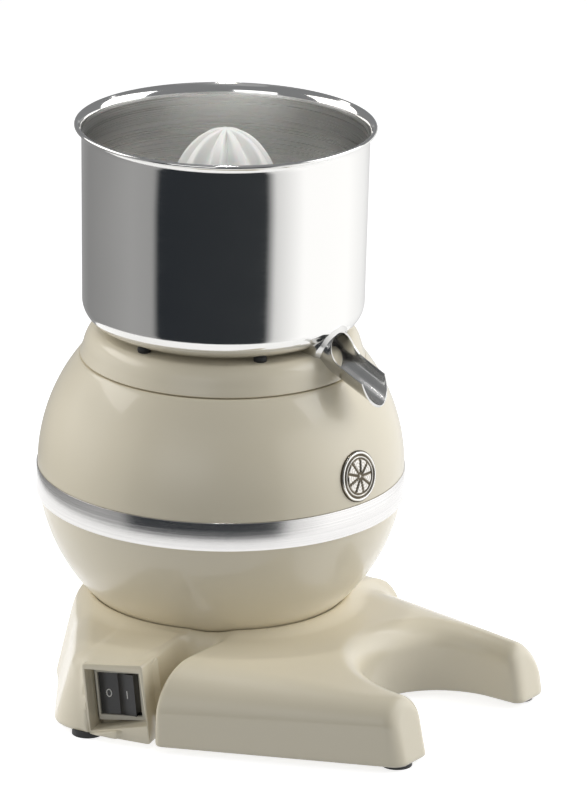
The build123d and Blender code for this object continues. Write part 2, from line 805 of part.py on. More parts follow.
def end_shield(name, seat_z, way, pillar_holes):
    """A cup on one end of the stator: the skirt stands on it and the plate holds a bush."""
    plate_z = seat_z + way * shield_reach
    with BuildPart() as shield:
        with BuildSketch(Plane.XY.offset(seat_z)):
            Circle(motor_r)
            Circle(skirt_in_r, mode=Mode.SUBTRACT)
        extrude(amount=way * shield_reach)
        with BuildSketch(Plane.XY.offset(plate_z)):
            Circle(motor_r)
            Circle(bush_r, mode=Mode.SUBTRACT)
            with PolarLocations(30, 6):
                SlotOverall(18, 8, rotation=90, mode=Mode.SUBTRACT)
        extrude(amount=way * shield_wall)
        with BuildSketch(Plane.XY.offset(plate_z)):
            Circle(bush_r + 4)
            Circle(bush_r, mode=Mode.SUBTRACT)
        extrude(amount=-way * (bush_height - shield_wall))
        with BuildSketch(Plane.XY.offset(seat_z)):
            with PolarLocations(motor_bolt_place_r, 4, start_angle=45):
                Circle(motor_bolt_r + 0.2)
        extrude(amount=way * (shield_reach + shield_wall), mode=Mode.SUBTRACT)
        # openings that cool the windings
        with PolarLocations(motor_r - 5, 8):
            with Locations((0, 0, seat_z + way * shield_reach / 2)):
                Box(16, 12, shield_reach - 12, mode=Mode.SUBTRACT)
        with BuildSketch(Plane.XY.offset(plate_z + way * shield_wall)):
            with PolarLocations(*pillar_holes):
                Circle(mount_screw_r)
        extrude(amount=-way * 5, mode=Mode.SUBTRACT)
    save(shield, name)


end_shield("motor_shield_upper", stator_top, 1, (pillar_place_r, 3, 90))
end_shield("motor_shield_lower", stator_bottom, -1, (mount_r, 4, 0))

with BuildPart() as shaft_bushes:
    for low in (stator_top + shield_reach + shield_wall - bush_height, lower_shield_bottom - shield_wall):
        with BuildSketch(Plane.XY.offset(low)):
            Circle(bush_r)
            Circle(shaft_r + running, mode=Mode.SUBTRACT)
        extrude(amount=bush_height)
save(shaft_bushes, "shaft_bushes")

motor_bolt_length = stator_height + 2 * (shield_reach + shield_wall)
motor_bolt = screw(motor_bolt_r, motor_bolt_length)
with BuildPart() as motor_bolts:
    with PolarLocations(motor_bolt_place_r, 4, start_angle=45):
        with Locations((0, 0, lower_shield_bottom - shield_wall)):
            add(motor_bolt)
save(motor_bolts, "motor_bolts")

isolator_r = 7.0
with BuildPart() as motor_isolators:
    with BuildSketch(Plane.XY.offset(shell_floor_z)):
        with PolarLocations(mount_r, 4):
            Circle(isolator_r)
            Circle(mount_screw_r + 0.2, mode=Mode.SUBTRACT)
    extrude(amount=lower_shield_bottom - shield_wall - shell_floor_z)
save(motor_isolators, "motor_isolators")

mount_screw = screw(mount_screw_r, lower_shield_bottom - shell_floor_z)
with BuildPart() as mount_screws:
    with PolarLocations(mount_r, 4):
        with Locations((0, 0, shell_floor_z - shell_wall)):
            add(mount_screw)
save(mount_screws, "mount_screws")

capacitor_r = 12.5
capacitor_place = (0.0, motor_r + capacitor_r + 2.5)
with BuildPart() as run_capacitor:
    with Locations((*capacitor_place, stator_bottom + 2)):
        Cylinder(capacitor_r, 46, align=bottom)
        Cylinder(3, 49, align=bottom)
save(run_capacitor, "run_capacitor")

with BuildPart() as capacitor_clamp:
    with BuildSketch(Plane.XY.offset(stator_bottom + 18)):
        with Locations(capacitor_place):
            Circle(capacitor_r + 1.2)
        with Locations((0, motor_r + 1.5)):
            Rectangle(16, 8)
        with Locations(capacitor_place):
            Circle(capacitor_r, mode=Mode.SUBTRACT)
        Circle(motor_r, mode=Mode.SUBTRACT)
    extrude(amount=12)
save(capacitor_clamp, "capacitor_clamp")

with BuildPart() as terminal_block:
    with BuildSketch(Plane.XY.offset(floor_z + 2 + cover_wall)):
        Rectangle(46, 16)
    extrude(amount=14)
    with BuildSketch(Plane.XY.offset(floor_z + 16 + cover_wall)):
        with GridLocations(11, 8, 4, 2):
            Circle(2.2)
    extrude(amount=-8, mode=Mode.SUBTRACT)
save(terminal_block, "terminal_block")

# ---- Switch -------------------------------------------------------------------------------
panel_wall = 2.0


def switch_sketch_plane(depth):
    """The plane of the rocker, turned in the face by its lean, depth behind the recess floor."""
    flat = switch_plane(switch_recess + depth)
    centre = flat.from_local_coords(Vector(*rocker_centre, 0))
    lean = math.radians(switch_lean)
    x_dir = flat.x_dir * math.cos(lean) + flat.y_dir * math.sin(lean)
    return Plane(origin=centre, x_dir=x_dir, z_dir=flat.z_dir)


with BuildPart() as switch_panel:
    with BuildSketch(switch_plane(switch_recess - panel_wall)):
        Polygon(*box_opening, align=None)
    extrude(amount=-panel_wall)
    with BuildSketch(switch_sketch_plane(0)):
        Rectangle(rocker_width + 2 * rocker_gap, rocker_height + 2 * rocker_gap)
    extrude(amount=panel_wall + 1, mode=Mode.SUBTRACT)
save(switch_panel, "switch_panel")

body_depth = 22.0
body_wall = 1.6
with BuildPart() as switch_body:
    with BuildSketch(switch_sketch_plane(0)):
        Rectangle(rocker_width + 5, rocker_height + 5)
    extrude(amount=-body_depth)
    with BuildSketch(switch_sketch_plane(0)):
        Rectangle(rocker_width + 2 * rocker_gap, rocker_height + 2 * rocker_gap)
    extrude(amount=-(body_depth - body_wall), mode=Mode.SUBTRACT)
    with BuildSketch(switch_sketch_plane(body_depth)):
        with GridLocations(14, 12, 2, 2):
            Rectangle(0.8, 6.3)
    extrude(amount=-8)
    # pivot pin that the rocker turns on
    pivot_depth = 6.0
    pivot = switch_sketch_plane(pivot_depth)
    with BuildSketch(Plane(origin=pivot.origin, x_dir=pivot.x_dir, z_dir=-pivot.y_dir)):
        Circle(pivot_r)
    extrude(amount=rocker_height / 2 + 1, both=True)
save(switch_body, "switch_body")

half_width = rocker_width / 2 - 1.0
half_throw = math.radians(rocker_throw / 2)
valley_z = pivot_depth + 0.8
ridge_z = valley_z + half_width * math.tan(half_throw)
with BuildPart() as switch_rocker:
    # section across the rocker: two flats that meet over the pivot, tilted to the O side
    with BuildSketch(Plane(origin=pivot.origin, x_dir=pivot.x_dir, z_dir=-pivot.y_dir)):
        with BuildLine():
            Polyline(
                (-half_width, ridge_z),
                (0, valley_z),
                (half_width, ridge_z),
                (half_width - 2.6, -1.0),
                (3.5, -5.0),
                (-3.5, -5.0),
                (2.6 - half_width, -1.0),
                (-half_width, ridge_z),
            )
        make_face()
        Circle(pivot_r + running, mode=Mode.SUBTRACT)
    extrude(amount=rocker_height / 2, both=True)
    off_side = switch_rocker.part.rotate(Axis(pivot.origin, pivot.y_dir), -rocker_throw / 2)
    add(off_side, mode=Mode.REPLACE)
save(switch_rocker, "switch_rocker")

# ---- Cable gland --------------------------------------------------------------------------
gland_plane = Plane(origin=(0, gland_face_y, gland_z), x_dir=(-1, 0, 0), z_dir=(0, 1, 0))
with BuildPart() as cable_gland:
    with BuildSketch(gland_plane):
        Circle(gland_flange_r)
    extrude(amount=4)
    with BuildSketch(gland_plane):
        Circle(gland_shank_r)
    extrude(amount=-casting_rear - 8)
    with BuildSketch(gland_plane.offset(5)):
        Circle(gland_bore_r)
    extrude(amount=-60, mode=Mode.SUBTRACT)
save(cable_gland, "cable_gland")

with BuildPart() as gland_nut:
    with BuildSketch(gland_plane.offset(-casting_rear - 0.7)):
        RegularPolygon(9, 6)
        Circle(gland_shank_r, mode=Mode.SUBTRACT)
    extrude(amount=-5)
save(gland_nut, "gland_nut")

# ---- Badge --------------------------------------------------------------------------------
badge_z = 144.6
badge_r = 15.0
with BuildPart() as badge:
    # a shallow cap that follows the sphere, cut by a round outline
    turn = math.radians(pad_turn - 90)
    low = sphere_radius_at(badge_z)
    out = Vector(low * math.cos(turn), low * math.sin(turn), badge_z - sphere_z).normalized()
    plane = Plane(origin=Vector(0, 0, sphere_z), z_dir=out, x_dir=Vector(-math.sin(turn), math.cos(turn), 0))
    with BuildSketch(plane):
        Circle(badge_r)
    extrude(amount=sphere_r + 1.6)
    with Locations((0, 0, sphere_z)):
        Sphere(sphere_r + 0.05, mode=Mode.SUBTRACT)
save(badge, "badge")
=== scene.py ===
# Electric citrus press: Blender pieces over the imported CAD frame. Sizes below are in millimetres.
import bmesh
import bpy
import math
import numpy as np
from mathutils import Matrix, Vector


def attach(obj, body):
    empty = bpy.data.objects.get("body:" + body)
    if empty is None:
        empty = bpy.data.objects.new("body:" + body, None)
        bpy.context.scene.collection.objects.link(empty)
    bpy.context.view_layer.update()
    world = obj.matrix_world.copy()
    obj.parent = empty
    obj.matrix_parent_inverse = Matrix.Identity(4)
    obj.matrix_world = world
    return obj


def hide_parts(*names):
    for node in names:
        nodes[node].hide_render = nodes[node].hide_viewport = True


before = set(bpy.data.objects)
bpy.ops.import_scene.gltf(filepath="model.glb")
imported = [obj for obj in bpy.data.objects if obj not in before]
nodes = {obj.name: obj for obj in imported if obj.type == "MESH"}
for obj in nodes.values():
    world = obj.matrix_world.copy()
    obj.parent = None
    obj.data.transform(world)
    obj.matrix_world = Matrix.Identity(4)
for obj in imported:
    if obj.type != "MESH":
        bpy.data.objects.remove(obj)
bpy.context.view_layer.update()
MM = 0.001

SPHERE_R = 107.6
SPHERE_Z = 127.1
BAND_LOW, BAND_HIGH = 111.0, 128.0
NECK_Z = 194.5
COLLAR_TOP = 211.5
BOWL_Z, RIM_Z = 215.0, 333.0
CONE_TIP, CONE_FOOT = 331.3, 269.3
SPOUT_START = (0.0, -62.0, 221.5)
SPOUT_SLOPE = math.radians(25)
SPOUT_LENGTH = 55.0 / math.cos(SPOUT_SLOPE)
SPOUT_R = 11.5
SHELL_WALL = 4.0
BALL_FOOT_Z = 48.0
BADGE_R, BADGE_Z = 15.0, 144.6
PAD_RING_R = 68.0
RIBS = 9
FRONT_TURN = math.radians(-96)      # the pads and the badge are turned 6 degrees from the spout


# ---- Materials -----------------------------------------------------------------------
class Nodes:
    """A material's node tree, with one short call per node."""

    def __init__(self, name):
        self.mat = bpy.data.materials.new(name)
        self.mat.use_nodes = True
        self.tree = self.mat.node_tree
        self.bsdf = self.tree.nodes["Principled BSDF"]

    def add(self, kind, links=(), **values):
        node = self.tree.nodes.new(kind)
        for key, value in values.items():
            if key in node.inputs.keys():
                node.inputs[key].default_value = value
            else:
                setattr(node, key, value)
        for source, target in links:
            self.tree.links.new(source, node.inputs[target])
        return node

    def link(self, source, target):
        self.tree.links.new(source, self.bsdf.inputs[target])

    def coords(self, scale=(1, 1, 1)):
        place = self.add("ShaderNodeTexCoord")
        mapping = self.add("ShaderNodeMapping", [(place.outputs["Object"], "Vector")])
        mapping.inputs["Scale"].default_value = scale
        return mapping.outputs["Vector"]

    def noise(self, vector, scale, detail=2.0, rough=0.5):
        node = self.add("ShaderNodeTexNoise", [(vector, "Vector")])
        node.inputs["Scale"].default_value = scale
        node.inputs["Detail"].default_value = detail
        node.inputs["Roughness"].default_value = rough
        return node.outputs["Fac"]

    def spread(self, value, low, high, start=0.3, end=0.7):
        node = self.add("ShaderNodeMapRange", [(value, "Value")])
        node.inputs["From Min"].default_value = start
        node.inputs["From Max"].default_value = end
        node.inputs["To Min"].default_value = low
        node.inputs["To Max"].default_value = high
        return node.outputs["Result"]

    def ramp(self, value, stops):
        node = self.add("ShaderNodeValToRGB", [(value, "Fac")])
        ramp = node.color_ramp
        while len(ramp.elements) < len(stops):
            ramp.elements.new(0.5)
        for element, (place, colour) in zip(ramp.elements, stops):
            element.position = place
            element.color = (*colour, 1)
        return node.outputs["Color"]

    def bump(self, height, distance, strength=1.0, target="Normal"):
        node = self.add("ShaderNodeBump", [(height, "Height")])
        node.inputs["Distance"].default_value = distance
        node.inputs["Strength"].default_value = strength
        self.link(node.outputs["Normal"], target)


def plain(name, colour, rough, metallic=0.0, **extra):
    """A principled material whose constants sit on the shader itself."""
    n = Nodes(name)
    n.bsdf.inputs["Base Color"].default_value = (*colour, 1)
    n.bsdf.inputs["Roughness"].default_value = rough
    n.bsdf.inputs["Metallic"].default_value = metallic
    for key, value in extra.items():
        n.bsdf.inputs[key.replace("_", " ")].default_value = value
    return n


def cream_paint():
    """Ivory enamel: clear gloss, a trace of orange peel and slow drifts of tone."""
    n = plain("cream_paint", (0.77, 0.70, 0.54), 0.32, Coat_Weight=0.55, Coat_Roughness=0.05)
    vector = n.coords()
    tone = n.noise(vector, 9.0, 3.0)
    n.link(n.ramp(tone, [(0.25, (0.765, 0.695, 0.53)), (0.75, (0.79, 0.72, 0.56))]), "Base Color")
    n.link(n.spread(n.noise(vector, 60.0, 4.0), 0.28, 0.38), "Roughness")
    n.bump(n.noise(vector, 420.0, 2.0), 0.00005, 0.35)
    n.bump(n.noise(vector, 260.0, 1.0), 0.00004, 0.25, "Coat Normal")
    return n.mat


def polished_steel():
    """Mirror steel with the faint hoop marks that polishing on a lathe leaves."""
    n = plain("polished_steel", (0.74, 0.735, 0.72), 0.09, 1.0)
    hoops = n.noise(n.coords((2, 2, 900)), 1.0, 3.0)
    clouds = n.noise(n.coords(), 30.0, 4.0)
    mixed = n.add("ShaderNodeMath", [(hoops, 0), (clouds, 1)], operation="MULTIPLY")
    n.link(n.spread(mixed.outputs["Value"], 0.06, 0.13, 0.15, 0.4), "Roughness")
    n.bump(hoops, 0.00001, 0.12)
    return n.mat


def satin_steel():
    """The finer brushed finish inside the bowl."""
    n = plain("satin_steel", (0.74, 0.735, 0.72), 0.3, 1.0, Anisotropic=0.4)
    hoops = n.noise(n.coords((3, 3, 1400)), 1.0, 4.0, 0.6)
    n.link(n.spread(hoops, 0.22, 0.36), "Roughness")
    n.bump(hoops, 0.00001, 0.25)
    tangent = n.add("ShaderNodeTangent", direction_type="RADIAL", axis="Z")
    n.link(tangent.outputs["Tangent"], "Tangent")
    return n.mat


def spout_steel():
    """Plain drawn tube: soft reflections with a faint unevenness."""
    n = plain("spout_steel", (0.62, 0.615, 0.60), 0.2, 1.0)
    n.link(n.spread(n.noise(n.coords((45, 45, 45)), 1.0, 3.0, 0.5), 0.15, 0.24), "Roughness")
    return n.mat


def brushed_steel():
    """Satin steel brushed round its circumference."""
    n = plain("brushed_band", (0.74, 0.73, 0.72), 0.2, 1.0, Anisotropic=0.5)
    lines = n.noise(n.coords((6, 6, 2600)), 1.0, 4.0, 0.7)
    n.link(n.ramp(lines, [(0.3, (0.64, 0.63, 0.62)), (0.7, (0.80, 0.79, 0.78))]), "Base Color")
    n.link(n.spread(lines, 0.13, 0.24), "Roughness")
    n.bump(lines, 0.00003, 0.3)
    tangent = n.add("ShaderNodeTangent", direction_type="RADIAL", axis="Z")
    n.link(tangent.outputs["Tangent"], "Tangent")
    return n.mat


def moulded(name, colour, rough, grain=900.0, depth=0.00003, vary=0.06, **extra):
    """Moulded plastic or rubber with a fine grain."""
    n = plain(name, colour, rough, **extra)
    vector = n.coords()
    n.link(n.spread(n.noise(vector, 45.0, 4.0), rough - vary, rough + vary), "Roughness")
    tone = n.noise(vector, 14.0, 3.0)
    lighter = tuple(min(1, c * 1.06 + 0.003) for c in colour)
    n.link(n.ramp(tone, [(0.3, colour), (0.7, lighter)]), "Base Color")
    n.bump(n.noise(vector, grain, 3.0), depth, 0.4)
    return n.mat


def metal(name, colour, rough, scale=60.0):
    """Bare metal with mottled roughness and colour."""
    n = plain(name, colour, rough, 1.0)
    vector = n.coords()
    mottle = n.noise(vector, scale, 5.0, 0.6)
    darker = tuple(c * 0.8 for c in colour)
    n.link(n.ramp(mottle, [(0.3, darker), (0.7, colour)]), "Base Color")
    n.link(n.spread(mottle, rough - 0.08, rough + 0.1), "Roughness")
    n.bump(n.noise(vector, 700.0, 3.0), 0.00003, 0.3)
    return n.mat


def badge_metal():
    """Polished relief with painted shade: the colour darkens towards the hollows, which are also rougher."""
    n = plain("badge_metal", (0.72, 0.70, 0.66), 0.2, 1.0)
    hollow = n.add("ShaderNodeAttribute", attribute_name="relief")
    # painted shade: the lower the relief, the darker the colour
    stops = [(0.0, (0.10, 0.085, 0.06)), (0.45, (0.34, 0.31, 0.26)), (0.9, (0.80, 0.79, 0.76))]
    n.link(n.ramp(hollow.outputs["Fac"], stops), "Base Color")
    n.link(n.spread(hollow.outputs["Fac"], 0.42, 0.14, 0.1, 0.9), "Roughness")
    n.bump(n.noise(n.coords(), 900.0, 3.0), 0.00003, 0.25)
    return n.mat


def copper():
    """Enamelled wire wound round the stator."""
    n = plain("copper", (0.60, 0.25, 0.10), 0.32, 1.0)
    wire = n.add("ShaderNodeTexWave", [(n.coords(), "Vector")], bands_direction="Z")
    wire.inputs["Scale"].default_value = 260.0
    wire.inputs["Distortion"].default_value = 1.5
    n.link(n.ramp(wire.outputs["Fac"], [(0.1, (0.25, 0.09, 0.035)), (0.8, (0.68, 0.30, 0.13))]), "Base Color")
    n.bump(wire.outputs["Fac"], 0.0003, 0.6)
    return n.mat


CREAM = cream_paint()
STEEL = polished_steel()
SATIN = satin_steel()
SPOUT_STEEL = spout_steel()
BRUSHED = brushed_steel()
BADGE = badge_metal()
WHITE = moulded("cone_plastic", (0.84, 0.84, 0.81), 0.36, 1100.0, 0.00002,
                Subsurface_Weight=0.12, Subsurface_Scale=0.003)
RUBBER = moulded("black_rubber", (0.018, 0.018, 0.018), 0.62, 1400.0, 0.00006)
PANEL = moulded("panel_plastic", (0.56, 0.54, 0.47), 0.42)
ROCKER = moulded("rocker_plastic", (0.012, 0.012, 0.013), 0.20, 700.0, 0.00001, 0.03)
BLACK = moulded("black_plastic", (0.025, 0.025, 0.026), 0.45)
MARKS = moulded("white_marks", (0.78, 0.78, 0.76), 0.5)
FASTENER = metal("fastener_steel", (0.56, 0.56, 0.57), 0.30)
LAMINATION = metal("lamination_steel", (0.20, 0.20, 0.22), 0.5, 400.0)
BRONZE = metal("bronze", (0.56, 0.40, 0.20), 0.38)
ALUMINIUM = metal("motor_aluminium", (0.66, 0.66, 0.67), 0.42)
COPPER = copper()


# ---- Mesh helpers --------------------------------------------------------------------
def piece(name, verts, faces, material, body, slot, stands_for=(), sharp=32.0):
    """A mesh piece with smooth shading, split where the surface turns by more than sharp degrees."""
    mesh = bpy.data.meshes.new(name)
    mesh.from_pydata([tuple(v) for v in np.asarray(verts) * MM], [], faces)
    mesh.validate()
    mesh.polygons.foreach_set("use_smooth", [True] * len(mesh.polygons))
    mesh.set_sharp_from_angle(angle=math.radians(sharp))
    obj = bpy.data.objects.new(name, mesh)
    bpy.context.scene.collection.objects.link(obj)
    mesh.materials.append(material)
    if body:
        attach(obj, body)
    if stands_for:
        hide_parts(*stands_for)
    return obj


def arc(cx, cz, r, start, end, steps):
    """Points on an arc, angles in degrees."""
    angles = [math.radians(start + (end - start) * i / steps) for i in range(steps + 1)]
    return [(cx + r * math.cos(a), cz + r * math.sin(a)) for a in angles]


def curve(a, b, c, t):
    """The point at t on the quadratic curve from a to c that b pulls on."""
    return tuple((1 - t) ** 2 * p + 2 * t * (1 - t) * q + t * t * r for p, q, r in zip(a, b, c))


def rounded(corners, steps=5):
    """A closed outline from (x, z, radius) corners, each rounded."""
    points = []
    count = len(corners)
    for i, (x, z, r) in enumerate(corners):
        here = np.array((x, z), float)
        back = np.array(corners[i - 1][:2], float) - here
        ahead = np.array(corners[(i + 1) % count][:2], float) - here
        reach_back, reach_ahead = np.linalg.norm(back), np.linalg.norm(ahead)
        back, ahead = back / reach_back, ahead / reach_ahead
        if r <= 0:
            points.append(tuple(here))
            continue
        half = math.acos(max(-1, min(1, float(back @ ahead)))) / 2
        cut = min(r / math.tan(half), 0.48 * reach_back, 0.48 * reach_ahead)
        a, b = here + back * cut, here + ahead * cut
        for k in range(steps + 1):
            t = k / steps
            points.append(tuple((1 - t) ** 2 * a + 2 * t * (1 - t) * here + t * t * b))
    return points


def lathe(profile, segments=192, closed=True):
    """Verts and faces of an outline turned round the Z axis. Points on the axis become one vertex."""
    verts, faces, rings = [], [], []
    for r, z in profile:
        if r < 1e-6:
            rings.append([len(verts)] * segments)
            verts.append((0, 0, z))
            continue
        rings.append(list(range(len(verts), len(verts) + segments)))
        for s in range(segments):
            a = 2 * math.pi * s / segments
            verts.append((r * math.cos(a), r * math.sin(a), z))
    spans = len(rings) if closed else len(rings) - 1
    for i in range(spans):
        low, high = rings[i], rings[(i + 1) % len(rings)]
        for s in range(segments):
            t = (s + 1) % segments
            ring = [low[s], low[t], high[t], high[s]]
            face = [v for k, v in enumerate(ring) if v != ring[k - 1]]
            if len(face) > 2:
                faces.append(face)
    return verts, faces


def clockwise(profile):
    """The outline in the order that makes the turned surface face outwards."""
    area = sum(a[0] * b[1] - b[0] * a[1] for a, b in zip(profile, profile[1:] + profile[:1]))
    return profile if area > 0 else profile[::-1]


def turned(name, profile, material, body, slot, stands_for=(), segments=192, sharp=32.0):
    """A piece turned round the Z axis from its closed outline."""
    verts, faces = lathe(clockwise(profile), segments)
    return piece(name, verts, faces, material, body, slot, stands_for, sharp)


def carve(obj, cutter_verts, cutter_faces, sharp=32.0):
    """Cuts a closed mesh out of obj for good."""
    cutter = piece("cutter", cutter_verts, cutter_faces, CREAM, None, None)
    cut = obj.modifiers.new("cut", "BOOLEAN")
    cut.operation = "DIFFERENCE"
    cut.solver = "EXACT"
    cut.object = cutter
    graph = bpy.context.evaluated_depsgraph_get()
    result = bpy.data.meshes.new_from_object(obj.evaluated_get(graph))
    obj.modifiers.clear()
    obj.data = result
    bpy.data.objects.remove(cutter)
    result.polygons.foreach_set("use_smooth", [True] * len(result.polygons))
    result.set_sharp_from_angle(angle=math.radians(sharp))


def placed(verts, origin, x_dir, y_dir, z_dir):
    """Local points moved into a frame given by an origin and three directions."""
    v = np.asarray(verts, float)
    return np.asarray(origin) + v[:, :1] * x_dir + v[:, 1:2] * y_dir + v[:, 2:3] * z_dir


def ball(z):
    """The ball's radius at a height."""
    return math.sqrt(SPHERE_R * SPHERE_R - (z - SPHERE_Z) ** 2)


def ball_arc(r, z_low, z_high, steps):
    """Outline points on a sphere of radius r round the ball's centre, from one height to another."""
    low = math.asin((z_low - SPHERE_Z) / r)
    high = math.asin((z_high - SPHERE_Z) / r)
    angles = [low + (high - low) * i / steps for i in range(steps + 1)]
    return [(r * math.cos(a), SPHERE_Z + r * math.sin(a)) for a in angles]


# ---- Sphere, band and collar ---------------------------------------------------------
groove_r = SPHERE_R - 0.4
split_z = (BAND_LOW + BAND_HIGH) / 2
inner_r = SPHERE_R - SHELL_WALL
foot_top = BALL_FOOT_Z + SHELL_WALL
lower = [(0, BALL_FOOT_Z), (72.4, BALL_FOOT_Z), (73.4, 48.7)] + ball_arc(SPHERE_R, 49.6, BAND_LOW - 0.25, 48)
lower += [(groove_r, BAND_LOW), (groove_r, split_z)]
lower += [(inner_r, split_z)] + ball_arc(inner_r, split_z, foot_top, 24)[1:] + [(0, foot_top)]
turned("ball_lower", lower, CREAM, "housing", "cream_paint", ["lower_shell"], 256)

upper = [(groove_r, split_z), (groove_r, BAND_HIGH)] + ball_arc(SPHERE_R, BAND_HIGH + 0.25, NECK_Z - 1.0, 48)
seam_z = NECK_Z - 0.3
upper += [(ball(seam_z) - 0.55, seam_z), (ball(seam_z) - 4.5, seam_z)]
upper += ball_arc(inner_r, seam_z, split_z, 24)
turned("ball_upper", upper, CREAM, "housing", "cream_paint", ["upper_shell"], 256)

band_r = SPHERE_R + 0.6
belt = [(groove_r, BAND_LOW, 0), (band_r, BAND_LOW, 0.35), (band_r, BAND_HIGH, 0.35), (groove_r, BAND_HIGH, 0)]
turned("belt_band", rounded(belt, 4), BRUSHED, "housing", "brushed_band", ["trim_band"], 256)

neck = ball(NECK_Z)
collar = [(neck - 8, NECK_Z + 0.1), (neck - 1.7, NECK_Z + 0.1), (neck - 0.75, NECK_Z + 0.8),
          (neck - 1.0, NECK_Z + 2.2)]
collar += [curve((neck - 2.2, NECK_Z + 5.0), (79.4, 210.6), (73.0, COLLAR_TOP), i / 12) for i in range(13)]
collar += [(12.0, COLLAR_TOP), (12.0, 240.6), (11.6, 241.0), (7.0, 241.0), (7.0, 207.5), (neck - 14, 207.5)]
neck_piece = turned("neck_ring", collar, CREAM, "housing", "cream_paint", ["neck_collar"], 192)

way = np.array((0, -math.cos(SPOUT_SLOPE), -math.sin(SPOUT_SLOPE)))
rise = np.array((0, -math.sin(SPOUT_SLOPE), math.cos(SPOUT_SLOPE)))
side = np.array((1.0, 0, 0))


def u_prism(r, start, end, height):
    """A closed U-shaped prism along the spout: round below, straight above."""
    outline = [(r * math.cos(a), r * math.sin(a)) for a in np.linspace(math.pi, 2 * math.pi, 33)]
    outline += [(r, height), (-r, height)]
    n = len(outline)
    verts = [(x, y, start) for x, y in outline] + [(x, y, end) for x, y in outline]
    faces = [list(range(n)), list(range(2 * n - 1, n - 1, -1))]
    faces += [[i, n + i, n + (i + 1) % n, (i + 1) % n] for i in range(n)]
    return placed(verts, SPOUT_START, side, rise, way), faces


carve(neck_piece, *u_prism(15.0, -1.0, SPOUT_LENGTH + 8, 40))

# ---- Bowl, spout ---------------------------------------------------------------------
FOOT_R, TOP_R, CORNER = 82.2, 83.3, 14.0
outer = [(12.5, BOWL_Z), (40, BOWL_Z), (60, BOWL_Z)]
outer += arc(FOOT_R - CORNER, BOWL_Z + CORNER, CORNER, -90, 0, 16)
outer += [(FOOT_R + (TOP_R - FOOT_R) * t, 229 + 98 * t) for t in (0.25, 0.5, 0.75, 1.0)]
outer += [(83.7, 329.5), (84.6, 331.4)]
bead = arc(86.2, RIM_Z, 1.3, -130, 150, 18)
inner = [(84.3, 333.1), (83.2, 331.6), (82.55, 329.5), (82.3, 327.0)]
inner += [(FOOT_R - 1 + (TOP_R - FOOT_R) * t, 229 + 98 * t) for t in (0.75, 0.5, 0.25)]
inner += arc(FOOT_R - CORNER, BOWL_Z + CORNER, CORNER - 1, 0, -90, 16)
inner += [(40, BOWL_Z + 1), (15.0, BOWL_Z + 1), (13.7, BOWL_Z + 2.4), (13.5, 260.5), (13.0, 261.0),
          (12.5, 260.5)]
bowl = turned("bowl_shell", outer + bead + inner, STEEL, "bowl", "polished_steel", ["bowl"], 256, 40)


def rod(r, start, end):
    """A closed round bar along the spout."""
    ring = [(r * math.cos(a), r * math.sin(a)) for a in np.linspace(0, 2 * math.pi, 49)[:-1]]
    n = len(ring)
    verts = [(x, y, start) for x, y in ring] + [(x, y, end) for x, y in ring]
    faces = [list(range(n - 1, -1, -1)), list(range(n, 2 * n))]
    faces += [[i, (i + 1) % n, n + (i + 1) % n, n + i] for i in range(n)]
    return placed(verts, SPOUT_START, side, rise, way), faces


carve(bowl, *rod(SPOUT_R - 1.0, 0, 45), sharp=40)
bowl.data.materials.append(SATIN)
for face in bowl.data.polygons:
    middle = Vector((face.center.x, face.center.y, 0))
    inward = face.normal.x * middle.x + face.normal.y * middle.y < 0 or face.normal.z > 0.5
    if inward and 0.0155 < middle.length < 0.0826 and face.center.z < 0.3295:
        face.material_index = 1


def spout_mesh():
    """A round tube that opens into a trough with a rounded end, one millimetre thick."""
    open_at = SPOUT_LENGTH * 0.15 + 8
    tip_at = SPOUT_LENGTH - SPOUT_R
    stations = list(np.linspace(0, open_at, 14)) + list(np.linspace(open_at + 0.6, tip_at, 18))
    turns = np.linspace(0.05, math.pi / 2 * 0.985, 18)
    stations += [SPOUT_LENGTH - SPOUT_R * (1 - math.sin(t)) for t in turns]
    count = 49
    verts, spreads = [], []
    for s in stations:
        spread = math.pi
        if s > open_at:
            t = min(1, (s - open_at) / 15.0)
            spread = math.pi - (math.pi / 2) * (1 - (1 - t) ** 2) ** 0.5
        tip = (s - tip_at) / SPOUT_R
        if tip > 0:
            spread = min(spread, math.asin(math.sqrt(max(0.0, 1 - tip * tip))))
        spreads.append(spread)
    for layer in (0.0, 1.0):
        for s, spread in zip(stations, spreads):
            r = SPOUT_R - layer
            lip = 0.45 * max(0.0, math.sin(math.pi * min(1, max(0, (s - open_at) / 9.0)) / 2))
            for j in range(count):
                a = -math.pi / 2 + spread * (2 * j / (count - 1) - 1)
                edge = abs(2 * j / (count - 1) - 1) ** 18
                verts.append(((r + lip * edge) * math.cos(a), (r + lip * edge) * math.sin(a), s))
    n = len(stations)
    faces = []
    for i in range(n - 1):
        for j in range(count - 1):
            a, b = i * count + j, (i + 1) * count + j
            faces.append([a, b, b + 1, a + 1])
            a, b = a + n * count, b + n * count
            faces.append([a + 1, b + 1, b, a])
        if spreads[i + 1] < math.pi:
            for j, flip in ((0, False), (count - 1, True)):
                a, b = i * count + j, (i + 1) * count + j
                strip = [a, a + n * count, b + n * count, b]
                faces.append(strip[::-1] if flip else strip)
    for i, flip in ((0, True), (n - 1, False)):
        for j in range(count - 1):
            a = i * count + j
            cap = [a, a + 1, a + 1 + n * count, a + n * count]
            faces.append(cap[::-1] if flip else cap)
    return placed(verts, SPOUT_START, side, rise, way), faces


def weld(obj):
    """Merges vertices that share a place, and makes the faces look outwards."""
    bm = bmesh.new()
    bm.from_mesh(obj.data)
    bmesh.ops.remove_doubles(bm, verts=bm.verts, dist=1e-6)
    bmesh.ops.recalc_face_normals(bm, faces=bm.faces)
    bm.to_mesh(obj.data)
    bm.free()
    obj.data.polygons.foreach_set("use_smooth", [True] * len(obj.data.polygons))
    obj.data.set_sharp_from_angle(angle=math.radians(40))


